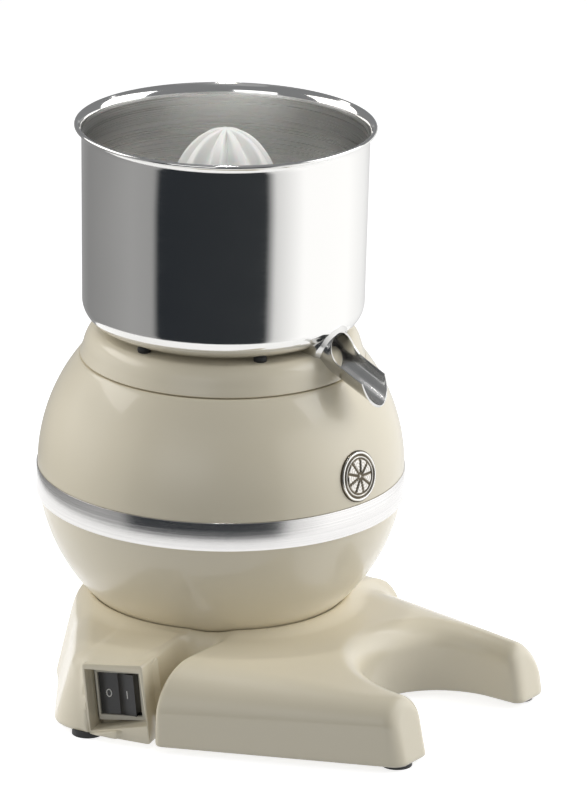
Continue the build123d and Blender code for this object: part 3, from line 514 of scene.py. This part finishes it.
spout = piece("spout_trough", *spout_mesh(), SPOUT_STEEL, "bowl", "polished_steel", ["spout"], 40)
weld(spout)
# the space inside the bowl, cleared of the spout and of its saddle
plug = [(0, BOWL_Z + 0.4)] + arc(FOOT_R - CORNER, BOWL_Z + CORNER, CORNER - 0.4, -90, 0, 12)
plug += [(82.0, 260.0), (0, 260.0)]
carve(spout, *lathe(clockwise(plug), 128), sharp=40)

saddle_in, saddle_out = SPOUT_R + 0.1, SPOUT_R + 2.8
saddle = rounded([(saddle_in, 4.0, 0), (saddle_out, 4.0, 0), (saddle_out, 15.6, 1.4), (saddle_in, 18.0, 0)])
saddle_verts, saddle_faces = lathe(clockwise(saddle), 96)
saddle_verts = placed(saddle_verts, SPOUT_START, side, rise, way)
saddle_piece = piece("spout_saddle", saddle_verts, saddle_faces, SPOUT_STEEL, "bowl", "polished_steel", [], 40)
weld(saddle_piece)
carve(saddle_piece, *lathe(clockwise(plug), 128), sharp=40)

# ---- Reamer cone ---------------------------------------------------------------------
def reamer():
    """A domed core with rounded ribs that run together at the tip, on a thin skirt."""
    segments = RIBS * 32
    crown, foot = (29.0, CONE_TIP - 1.5), (38.0, CONE_FOOT + 3.6)
    profile = [curve((0.0, CONE_TIP), crown, foot, i / 40) for i in range(41)]
    verts, faces = [(0, 0, CONE_TIP)], []
    rows = []
    for i, (r, z) in enumerate(profile[1:], 1):
        depth = min(5.2, 0.42 * r)
        row = []
        for s in range(segments):
            a = 2 * math.pi * s / segments
            across = abs(((a * RIBS / (2 * math.pi)) + 0.5) % 1 - 0.5) * 2 * math.pi * max(r, 1) / RIBS
            half = 0.34 * math.pi * max(r, 1) / RIBS + 0.5
            t = min(1.0, max(0.0, (across - half * 0.55) / (half * 1.9)))
            dip = depth * (t * t * (3 - 2 * t))
            if i == len(profile) - 1:
                dip *= 0.9
            row.append(len(verts))
            verts.append(((r - dip) * math.cos(a), (r - dip) * math.sin(a), z - dip * 0.25))
        rows.append(row)
    # the skirt's edge, its underside and the socket for the hub
    below = [(40.2, 2.7), (40.9, 2.1), (41.0, 1.4), (41.0, 0.5), (40.6, 0), (31, 0), (30, 0.6), (21, 26),
             (15.5, 26), (15.5, 0), (10.0, 0), (10.0, 38)]
    for r, up in below:
        row = []
        for s in range(segments):
            a = 2 * math.pi * s / segments
            row.append(len(verts))
            verts.append((r * math.cos(a), r * math.sin(a), CONE_FOOT + up))
        rows.append(row)
    verts.append((0, 0, CONE_FOOT + 38))
    for s in range(segments):
        t = (s + 1) % segments
        faces.append([0, rows[0][s], rows[0][t]])
        faces.append([len(verts) - 1, rows[-1][t], rows[-1][s]])
        for low, high in zip(rows, rows[1:]):
            faces.append([low[s], high[s], high[t], low[t]])
    return verts, faces


piece("reamer_ribs", *reamer(), WHITE, "reamer", "cone_plastic", ["reamer_cone"], 45)

# ---- Pads ----------------------------------------------------------------------------
pads, pad_faces = [], []
pad_top = BOWL_Z - 0.05
bulge = rounded([(0, COLLAR_TOP, 0), (3.7, COLLAR_TOP, 0.3), (4.0, COLLAR_TOP + 1.7, 1.2), (3.6, pad_top, 0.8),
                 (0, pad_top, 0)], 4)
one_verts, one_faces = lathe(clockwise(bulge), 32)
for k in range(6):
    a = math.radians(-6) + k * math.pi / 3
    first = len(pads)
    pads += [(x + PAD_RING_R * math.cos(a), y + PAD_RING_R * math.sin(a), z) for x, y, z in one_verts]
    pad_faces += [[first + i for i in f] for f in one_faces]
piece("pad_buttons", pads, pad_faces, RUBBER, "housing", "black_rubber", ["bowl_pads"], 45)


# ---- Base casting: a field of distances, skinned on a fine grid ----------------------
def cut_round(a, b, r):
    """Where both a and b are inside, with the edge between them rounded to r."""
    return np.minimum(np.maximum(a, b), -r) + np.hypot(np.maximum(a + r, 0), np.maximum(b + r, 0))


def join_round(a, b, r):
    """Where a or b is inside, with the corner between them filled to r."""
    return -cut_round(-a, -b, r)


FLOOR_Z = 3.0
FOOTLINE = 4.0                      # height at which the outline is measured
LEAN, SLANT = 0.27, 0.944           # how far the rear leans in per millimetre up, and the slant of its face
REAR_R, REAR_TOP = 93.0, 50.0
ARM_REAR_Y, ARM_FRONT_Y = -51.0, -183.0
CREST_Y, CREST_Z, CREST_RISE = -57.0, 49.0, 0.0714
BAY_Y, BAY_R, BAY_TILT = -160.0, 46.0, math.radians(4.5)
SHOULDER_TOP, SHOULDER_X = 47.5, -143.9
BOX_FACE = 137.6                    # the switch box's face, from the drive axis
ARM_WALL = 6.0
FOOT_PLACES = ((-64.5, -172.0), (64.5, -170.0))
WELL_R, WELL_TOP, LEDGE_R = 66.0, 42.0, 54.0
COVER_R, COVER_TOP = 74.0, 6.2
OUT = (-math.cos(math.radians(12)), -math.sin(math.radians(12)))
ALONG = (math.sin(math.radians(12)), -math.cos(math.radians(12)))


def line(x, y, x0, y0, nx, ny):
    """Distance beyond the upright plane through (x0, y0) whose normal is (nx, ny)."""
    size = math.hypot(nx, ny)
    return ((x - x0) * nx + (y - y0) * ny) / size


def casting(x, y, z):
    """Signed distance to the base casting, in millimetres, negative inside."""
    flat = np.hypot(x, y)
    lean = LEAN * (z - FOOTLINE)
    step = np.clip((ARM_REAR_Y - y) / (ARM_REAR_Y - ARM_FRONT_Y), 0, 1)
    rear = cut_round((flat - REAR_R + lean) * SLANT, z - REAR_TOP, 6.0)
    # the two arms, with the bay for the glass between them
    near = line(x, y, -135.2, ARM_REAR_Y, -126.0, -57.0)
    far = line(x, y, 103.0, -57.0, 126.0, -28.0)
    top = (z - CREST_Z - CREST_RISE * (y - CREST_Y)) * 0.9975
    by = (y - BAY_Y) * math.cos(BAY_TILT) + z * math.sin(BAY_TILT)
    bz = -(y - BAY_Y) * math.sin(BAY_TILT) + z * math.cos(BAY_TILT)
    bay = np.where(by > 0, np.hypot(x, by), np.abs(x)) - BAY_R - 2.0 * (bz + 20.0) / 47.0
    crown = cut_round(top, -bay, 15.0)
    arms = np.maximum(cut_round(near, crown, 30.0 - 16.0 * step), cut_round(far, crown, 62.0 - 32.0 * step))
    arms = cut_round(arms, (ARM_FRONT_Y - y + 0.20 * (z - FOOTLINE)) * 0.981, 6.0)
    arms = cut_round(arms, y - ARM_REAR_Y, 4.0)
    # the shoulder behind the switch box, and the wall that carries the far arm on to the rear
    shoulder = cut_round((line(x, y, -141.0, -28.0, -22.0, -6.0) + lean * 0.8) * 0.96,
                         (line(x, y, -132.0, 21.5, -57.5, 81.8) + lean) * SLANT, 15.0)
    shoulder = cut_round(shoulder, z - SHOULDER_TOP, 9.0)
    shoulder = cut_round(shoulder, SHOULDER_X - x, 12.0)
    shoulder = np.maximum(shoulder, np.maximum(-28.0 - y, np.maximum(x + 40.0, y - 62.0)))
    wall = cut_round(line(x, y, 103.0, -57.5, 65.5, 12.0), line(x, y, 92.0, 8.0, 12.0, 54.5), 8.0)
    wall = cut_round(wall + lean * 0.3, z - 48.0, 36.0)
    wall = np.maximum(wall, np.maximum(-62.0 - y, 40.0 - x))
    # the switch box, in distances along its face and out from the drive axis
    s = ALONG[0] * x + ALONG[1] * y
    out = OUT[0] * x + OUT[1] * y
    right = (s - 17.8) * 0.9923 + (z - FOOTLINE) * 0.1238
    left = -(s + 19.3) * 0.9933 - (z - FOOTLINE) * 0.1149
    lid = -(s + 25.1) * 0.1301 + (z - 44.5) * 0.9915
    box = cut_round(cut_round(np.maximum(left, right), lid, 2.0), out - BOX_FACE, 2.0)
    box = np.maximum(box, 85.0 - out)
    body = join_round(rear, shoulder, 10.0)
    body = join_round(body, wall, 14.0)
    body = join_round(body, arms, 8.0)
    body = np.maximum(body, -bay)
    body = join_round(body, box, 6.0)
    sphere = np.sqrt(flat**2 + (z - SPHERE_Z) ** 2) - (SPHERE_R + 0.35)
    seat = np.maximum(sphere, BALL_FOOT_Z - z)
    body = cut_round(body, -seat, 1.2)
    # inside: pockets under the arms, motor well, rebate of the cover
    pocket = np.maximum(arms + ARM_WALL, 80.0 - flat)
    for fx, fy in FOOT_PLACES:
        pocket = np.maximum(pocket, 9.0 - np.hypot(x - fx, y - fy))
    body = np.maximum(body, -pocket)
    body = cut_round(body, FLOOR_Z - z, 1.8)
    well = np.minimum(np.maximum(flat - WELL_R, z - WELL_TOP), flat - LEDGE_R)
    well = np.minimum(well, np.maximum(flat - COVER_R, z - COVER_TOP))
    body = np.maximum(body, -well)
    # recess of the switch, a little wider than the frame that lines it
    hole = np.maximum((s - 16.6) * 0.9874 + (z - 13.8) * 0.158, -(s + 18.7) * 0.9921 - (z - 4.6) * 0.1255)
    hole = np.maximum(hole, (s - 11.2) * -0.081 + (z - 44.8) * 0.9967)
    hole = np.maximum(hole, (s + 18.7) * 0.2522 - (z - 4.6) * 0.9677) - 0.9
    hole = np.maximum(hole, 121.0 - out)
    return cut_round(body, -hole, 0.6)


def skin(field, low, high, cell):
    """Surface nets: one vertex in each cell that the surface crosses, then drawn onto the surface."""
    low = np.array(low, float)
    counts = [int(math.ceil((h - l) / cell)) + 1 for l, h in zip(low, high)]
    axes = [low[i] + cell * np.arange(counts[i]) for i in range(3)]
    grid = np.meshgrid(*axes, indexing="ij")
    value = field(*grid)
    shape = tuple(n - 1 for n in counts)
    total = np.zeros(shape + (3,))
    hits = np.zeros(shape)
    quads, crossings = [], []
    for axis in range(3):
        first = [slice(None)] * 3
        second = [slice(None)] * 3
        first[axis], second[axis] = slice(0, -1), slice(1, None)
        a, b = value[tuple(first)], value[tuple(second)]
        crossing = (a < 0) != (b < 0)
        t = np.where(crossing, a / np.where(crossing, a - b, 1), 0)
        place = [g[tuple(first)] for g in grid]
        place[axis] = place[axis] + t * cell
        others = [i for i in range(3) if i != axis]
        for da in (0, 1):
            for db in (0, 1):
                pick = [slice(None)] * 3
                pick[others[0]] = slice(da, counts[others[0]] - 1 + da)
                pick[others[1]] = slice(db, counts[others[1]] - 1 + db)
                mask = crossing[tuple(pick)]
                hits += mask
                for i in range(3):
                    total[..., i] += np.where(mask, place[i][tuple(pick)], 0)
        crossings.append((axis, crossing, a < 0))
    used = hits > 0
    index = -np.ones(shape, int)
    index[used] = np.arange(used.sum())
    verts = total[used] / hits[used][:, None]
    for axis, crossing, inside in crossings:
        u, v = (axis + 1) % 3, (axis + 2) % 3
        where = np.argwhere(crossing)
        within = (where[:, u] > 0) & (where[:, v] > 0)
        within &= (where[:, u] < counts[u] - 1) & (where[:, v] < counts[v] - 1)
        where = where[within]
        facing = inside[tuple(where.T)]
        ring = []
        for du, dv in ((1, 1), (0, 1), (0, 0), (1, 0)):
            at = where.copy()
            at[:, u] -= du
            at[:, v] -= dv
            ring.append(index[tuple(at.T)])
        ring = np.stack(ring, 1)
        ring[~facing] = ring[~facing][:, ::-1]
        quads.append(ring)
    quads = np.concatenate(quads)

    def settle(points):
        """The points moved onto the surface along its slope."""
        for _ in range(3):
            x, y, z = points.T
            here = field(x, y, z)
            h = 0.08
            slope = np.stack([
                field(x + h, y, z) - field(x - h, y, z),
                field(x, y + h, z) - field(x, y - h, z),
                field(x, y, z + h) - field(x, y, z - h),
            ], 1) / (2 * h)
            size = (slope**2).sum(1) + 1e-6
            step = np.clip(here / size, -0.5 * cell, 0.5 * cell)
            points = points - slope * step[:, None]
        return points

    verts = settle(verts)
    a = quads.reshape(-1)
    b = np.roll(quads, -1, 1).reshape(-1)
    near = np.bincount(a, minlength=len(verts)) + np.bincount(b, minlength=len(verts))
    for _ in range(2):
        sums = [np.bincount(a, verts[b, i], len(verts)) + np.bincount(b, verts[a, i], len(verts))
                for i in range(3)]
        mean = np.stack(sums, 1) / near[:, None]
        verts = settle(verts * 0.5 + mean * 0.5)
    return verts, quads.tolist()


cell = 1.4
base_verts, base_quads = skin(casting, (-147.0, -186.0, 0.6), (110.0, 98.0, 52.0), cell)
piece("base_body", base_verts, base_quads, CREAM, "housing", "cream_paint", ["base_casting"], 75)

# ---- Switch frame: crisp edges round the recess, sunk into the casting at its rear -----
FRAME_TURN = math.radians(6.5)
flat_along = np.array((ALONG[0], ALONG[1], 0.0))
face_z = np.array((OUT[0], OUT[1], 0.0))
frame_outer = [(-20.3, 2.4, 1.6), (18.8, 2.4, 1.6), (13.0, 50.0, 2.0), (-25.1, 45.0, 2.0)]
frame_inner = [(-18.7, 4.9, 0.8), (16.6, 13.6, 0.8), (11.2, 44.9, 0.8), (-23.0, 42.0, 0.8)]


def frame_loop(corners, grow, out):
    """The rounded outline grown on every side, as points at a distance from the drive axis."""
    cs = sum(c[0] for c in corners) / 4
    cz = sum(c[1] for c in corners) / 4
    moved = [(s + grow * np.sign(s - cs), z + grow * np.sign(z - cz), r) for s, z, r in corners]
    return [tuple(flat_along * s + face_z * out + np.array((0, 0, z))) for s, z in rounded(moved, 5)]


# growth and distance out of each loop, from the rear of the outside over the face to the bottom of the recess
outside = ((-2.8, 112.0), (-0.2, 130.0), (0, 138.0), (-0.2, 138.7), (-0.7, 139.0))
inside = ((0.45, 139.0), (0.1, 138.85), (0, 138.5), (-0.3, 126.2), (3.0, 120.0))
loops = [frame_loop(frame_outer, grow, out) for grow, out in outside]
loops += [frame_loop(frame_inner, grow, out) for grow, out in inside]
frame_verts = [v for loop in loops for v in loop]
size = len(loops[0])
frame_faces = []
for i in range(len(loops)):
    low, high = i * size, ((i + 1) % len(loops)) * size
    frame_faces += [[low + k, low + (k + 1) % size, high + (k + 1) % size, high + k] for k in range(size)]
surround = piece("switch_surround", frame_verts, frame_faces, CREAM, "housing", "cream_paint", [], 28)
weld(surround)

# ---- Badge: a round relief of a citrus slice ------------------------------------------
badge_flat = ball(BADGE_Z)
badge_out = np.array((badge_flat * math.cos(FRONT_TURN), badge_flat * math.sin(FRONT_TURN),
                      BADGE_Z - SPHERE_Z))
badge_out /= np.linalg.norm(badge_out)
badge_side = np.array((-math.sin(FRONT_TURN), math.cos(FRONT_TURN), 0))
badge_up = np.cross(badge_out, badge_side)


def clamp(value):
    return min(1.0, max(0.0, value))


def badge_height(r, a):
    """Height above the ground of the badge, 0 to 1: a ring, then a slice of wedges."""
    ring = math.exp(-((r - 13.7) / 0.75) ** 4)
    rind = math.exp(-((r - 11.3) / 0.5) ** 4) * 0.75
    wedge = ((a / (2 * math.pi) * 9) % 1) - 0.5
    across = (0.5 - abs(wedge)) * 2 * math.pi * r / 9
    inside = clamp((across - 0.35) / 0.7) * clamp((10.3 - r) / 0.8) * clamp((r - 1.6) / 0.8)
    veins = 0.86 + 0.14 * math.sin(r * 3.1 + 2.0 * math.cos(a * 9))
    hub = math.exp(-(r / 1.0) ** 4) * 0.7
    return max(ring, rind, inside * 0.85 * veins, hub)


def badge_mesh():
    """The relief on a cap that follows the ball, with a short skirt, and its height, which drives the painted
    shade in the hollows.
    """
    rings, spokes = 64, 252
    verts, relief, faces = [], [], []
    for i in range(rings + 1):
        r = BADGE_R * i / rings
        for s in range(spokes if i else 1):
            a = 2 * math.pi * s / spokes
            h = badge_height(r, a) if i < rings else 0.0
            lift = 0.9 if i == rings - 1 else 0.55 + 0.95 * h
            verts.append((r * math.cos(a), r * math.sin(a), math.sqrt(SPHERE_R**2 - r * r) + lift))
            relief.append(h)
    for s in range(spokes):
        a = 2 * math.pi * s / spokes
        foot = math.sqrt(SPHERE_R**2 - BADGE_R**2) - 0.3
        verts.append((BADGE_R * math.cos(a), BADGE_R * math.sin(a), foot))
        relief.append(0.0)
    for s in range(spokes):
        t = (s + 1) % spokes
        faces.append([0, 1 + s, 1 + t])
        for i in range(1, rings + 1):
            a, b = 1 + (i - 1) * spokes, 1 + i * spokes
            faces.append([a + s, b + s, b + t, a + t])
    return placed(verts, (0, 0, SPHERE_Z), badge_side, badge_up, badge_out), faces, relief


badge_verts, badge_faces, badge_relief = badge_mesh()
badge = piece("badge_slice", badge_verts, badge_faces, BADGE, "housing", "badge_metal", ["badge"], 60)
relief_layer = badge.data.attributes.new("relief", "FLOAT", "POINT")
relief_layer.data.foreach_set("value", badge_relief)

# ---- Switch marks --------------------------------------------------------------------
face_x = flat_along * math.cos(FRAME_TURN) + np.array((0, 0, 1.0)) * math.sin(FRAME_TURN)
face_y = np.cross(face_z, face_x)
pivot = np.array((-118.542, -19.4718, 25.6))
THROW, VALLEY = math.radians(8), 6.8


def on_rocker(u, v, proud, sign):
    """A point on one flat of the rocker at rest: u runs out from the valley, v up the rocker."""
    x = sign * (u - math.sin(THROW) * proud)
    z = VALLEY + u * math.tan(THROW) + math.cos(THROW) * proud
    c, s = math.cos(THROW), math.sin(THROW)
    return pivot + face_x * (x * c - z * s) + face_y * v + face_z * (x * s + z * c)


def mark(name, outline_in, outline_out, sign):
    """A thin printed mark between two outlines on a flat of the rocker."""
    n = len(outline_out)
    verts, faces = [], []
    for proud in (0.0, 0.12):
        for ring in (outline_out, outline_in):
            verts += [on_rocker(u, v, proud, sign) for u, v in ring]
    for k in range(n):
        t = (k + 1) % n
        faces.append([2 * n + k, 2 * n + t, 3 * n + t, 3 * n + k])
        faces.append([k, t, 2 * n + t, 2 * n + k])
        faces.append([n + t, n + k, 3 * n + k, 3 * n + t])
    obj = piece(name, verts, faces, MARKS, "rocker", "rocker_plastic", [], 50)
    weld(obj)


MARK_U = 6.2        # distance of both marks from the valley
circle = np.linspace(0, 2 * math.pi, 49)[:-1]
mark("mark_off", [(MARK_U + 1.25 * math.cos(a), 1.9 * math.sin(a)) for a in circle],
     [(MARK_U + 1.75 * math.cos(a), 2.4 * math.sin(a)) for a in circle], -1)
bar = rounded([(5.9, -2.4, 0.2), (6.5, -2.4, 0.2), (6.5, 2.4, 0.2), (5.9, 2.4, 0.2)], 3)
core = [(MARK_U + (u - MARK_U) * 0.05, v * 0.95) for u, v in bar]
mark("mark_on", core, bar, 1)

# ---- CAD nodes that stay: a material, and on some a small bevel on their edges ---------
kept = {
    "base_cover": BLACK, "rubber_feet": RUBBER, "foot_screws": FASTENER, "cover_screws": FASTENER,
    "shell_screws": FASTENER, "collar_screws": FASTENER, "collar_pillars": FASTENER, "shaft_seal": RUBBER,
    "strainer": STEEL, "cone_hub": BRONZE, "drive_shaft": FASTENER, "drive_pin": FASTENER,
    "rotor_core": LAMINATION, "cooling_fan": BLACK, "stator_core": LAMINATION, "stator_windings": COPPER,
    "motor_shield_upper": ALUMINIUM, "motor_shield_lower": ALUMINIUM, "shaft_bushes": BRONZE,
    "motor_bolts": FASTENER, "motor_isolators": RUBBER, "mount_screws": FASTENER, "run_capacitor": ALUMINIUM,
    "capacitor_clamp": FASTENER, "terminal_block": BLACK, "switch_panel": PANEL, "switch_body": BLACK,
    "switch_rocker": ROCKER, "cable_gland": BLACK, "gland_nut": BLACK,
}
bevels = {"rubber_feet": 0.5, "switch_rocker": 0.5, "switch_panel": 0.25, "cable_gland": 0.6,
          "drive_shaft": 0.3, "cone_hub": 0.3, "base_cover": 0.3, "collar_screws": 0.2, "foot_screws": 0.2}
for name, material in kept.items():
    obj = nodes[name]
    obj.data.materials.clear()
    obj.data.materials.append(material)
    if name in bevels:
        bevel = obj.modifiers.new("edge", "BEVEL")
        bevel.width = bevels[name] * MM
        bevel.segments = 3
        bevel.limit_method = "ANGLE"
        bevel.angle_limit = math.radians(40)
        bevel.harden_normals = False

# ---- Stage, light and camera -----------------------------------------------------------
CAMERA = Vector((-2.7041, -1.9288, 1.2974))
FORWARD = Vector((0.77753, 0.53995, -0.32232)).normalized()
RIGHT = Vector((0.57534, -0.81771, 0.01807)).normalized()
UP = RIGHT.cross(FORWARD).normalized()

camera_data = bpy.data.cameras.new("camera")
camera = bpy.data.objects.new("camera", camera_data)
bpy.context.scene.collection.objects.link(camera)
camera_data.lens = 270.0
camera_data.sensor_width = 36.0
camera_data.clip_end = 50.0
camera.matrix_world = Matrix((
    (RIGHT.x, UP.x, -FORWARD.x, CAMERA.x),
    (RIGHT.y, UP.y, -FORWARD.y, CAMERA.y),
    (RIGHT.z, UP.z, -FORWARD.z, CAMERA.z),
    (0, 0, 0, 1),
))
bpy.context.scene.camera = camera


def stage_piece(name, verts, faces, material):
    """A mesh, in metres, that belongs to the stage and not to the object."""
    mesh = bpy.data.meshes.new(name)
    mesh.from_pydata(verts, [], faces)
    mesh.polygons.foreach_set("use_smooth", [True] * len(mesh.polygons))
    mesh.materials.append(material)
    obj = bpy.data.objects.new(name, mesh)
    bpy.context.scene.collection.objects.link(obj)
    return obj


pale = plain("pale_floor", (0.60, 0.60, 0.60), 0.7, Emission_Color=(1, 1, 1, 1), Emission_Strength=0.74)
pale.bump(pale.noise(pale.coords(), 30.0, 4.0), 0.0002, 0.2)
floor = stage_piece("floor", [(-8, -8, 0), (8, -8, 0), (8, 8, 0), (-8, 8, 0)], [(0, 1, 2, 3)], pale.mat)
floor.visible_diffuse = False


def reflector():
    """A ring of cards that only mirrors see: dark in front, grey on the left, white on the right."""
    n = Nodes("reflector_cards")
    place = n.add("ShaderNodeTexCoord")
    split = n.add("ShaderNodeSeparateXYZ", [(place.outputs["Object"], "Vector")])
    angle = n.add("ShaderNodeMath", [(split.outputs["Y"], 0), (split.outputs["X"], 1)], operation="ARCTAN2")
    turn = n.add("ShaderNodeMapRange", [(angle.outputs["Value"], "Value")])
    turn.inputs["From Min"].default_value = -math.pi
    turn.inputs["From Max"].default_value = math.pi
    grey = n.ramp(turn.outputs["Result"], [
        (0.0, (0.30,) * 3), (0.137, (0.21,) * 3), (0.22, (0.25,) * 3), (0.298, (0.30,) * 3),
        (0.350, (0.28,) * 3), (0.364, (0.018, 0.021, 0.025)), (0.585, (0.026, 0.029, 0.032)),
        (0.606, (0.62,) * 3), (0.67, (0.95,) * 3), (0.80, (0.96,) * 3), (0.88, (0.78,) * 3),
        (1.0, (0.30,) * 3)])
    glow = n.add("ShaderNodeEmission", [(grey, "Color")])
    glow.inputs["Strength"].default_value = 1.4
    n.tree.links.new(glow.outputs["Emission"], n.tree.nodes["Material Output"].inputs["Surface"])
    count, radius = 96, 0.40
    angles = [2 * math.pi * k / count for k in range(count)]
    verts = [(radius * math.cos(a), radius * math.sin(a), z) for z in (0.002, 0.36) for a in angles]
    faces = [(k, (k + 1) % count, count + (k + 1) % count, count + k) for k in range(count)]
    ring = stage_piece("reflector_ring", verts, faces, n.mat)
    # the ring's own +X looks at the camera, and its -Y side is on the camera's right
    ring.matrix_world = Matrix.Rotation(math.atan2(CAMERA.y, CAMERA.x), 4, "Z")
    for kind in ("camera", "diffuse", "transmission", "shadow", "volume_scatter"):
        setattr(ring, "visible_" + kind, False)


reflector()


def lamp(name, place, aim, size, power, colour=(1, 1, 1)):
    """A rectangular soft light at a place, turned to look at a point."""
    data = bpy.data.lights.new(name, "AREA")
    data.shape = "RECTANGLE"
    data.size, data.size_y = size
    data.energy = power
    data.color = colour
    obj = bpy.data.objects.new(name, data)
    bpy.context.scene.collection.objects.link(obj)
    obj.location = place
    obj.rotation_euler = (Vector(aim) - Vector(place)).to_track_quat("-Z", "Y").to_euler()
    obj.visible_camera = False


left = -RIGHT
back = Vector((CAMERA.x, CAMERA.y, 0)).normalized()
lamp("left_side", back * -0.35 + left * 1.35 + Vector((0, 0, 0.60)), (0, 0, 0.17), (1.3, 1.6), 16.5,
     (1.0, 0.985, 0.96))
lamp("right_side", back * -0.15 - left * 1.35 + Vector((0, 0, 0.60)), (0, 0, 0.17), (1.3, 1.6), 18)
lamp("top", Vector((0.1, 0.2, 2.3)), (0, 0, 0), (1.4, 1.4), 1.0)
lamp("front", back * 2.0 + left * 0.9 + Vector((0, 0, 0.8)), (0, 0, 0.1), (1.4, 1.0), 7.5)

# a narrow soft light straight into the bowl
bowl_data = bpy.data.lights.new("bowl_light", "SPOT")
bowl_data.energy = 14
bowl_data.spot_size = math.radians(13)
bowl_data.spot_blend = 0.5
bowl_data.shadow_soft_size = 0.06
bowl_light = bpy.data.objects.new("bowl_light", bowl_data)
bpy.context.scene.collection.objects.link(bowl_light)
bowl_light.location = (0, 0, 1.25)

world = bpy.data.worlds.new("studio")
bpy.context.scene.world = world
world.use_nodes = True
world.node_tree.nodes["Background"].inputs["Color"].default_value = (0.95, 0.97, 1.0, 1)
world.node_tree.nodes["Background"].inputs["Strength"].default_value = 0.27
bpy.context.scene.view_settings.view_transform = "Standard"
bpy.context.scene.view_settings.look = "None"
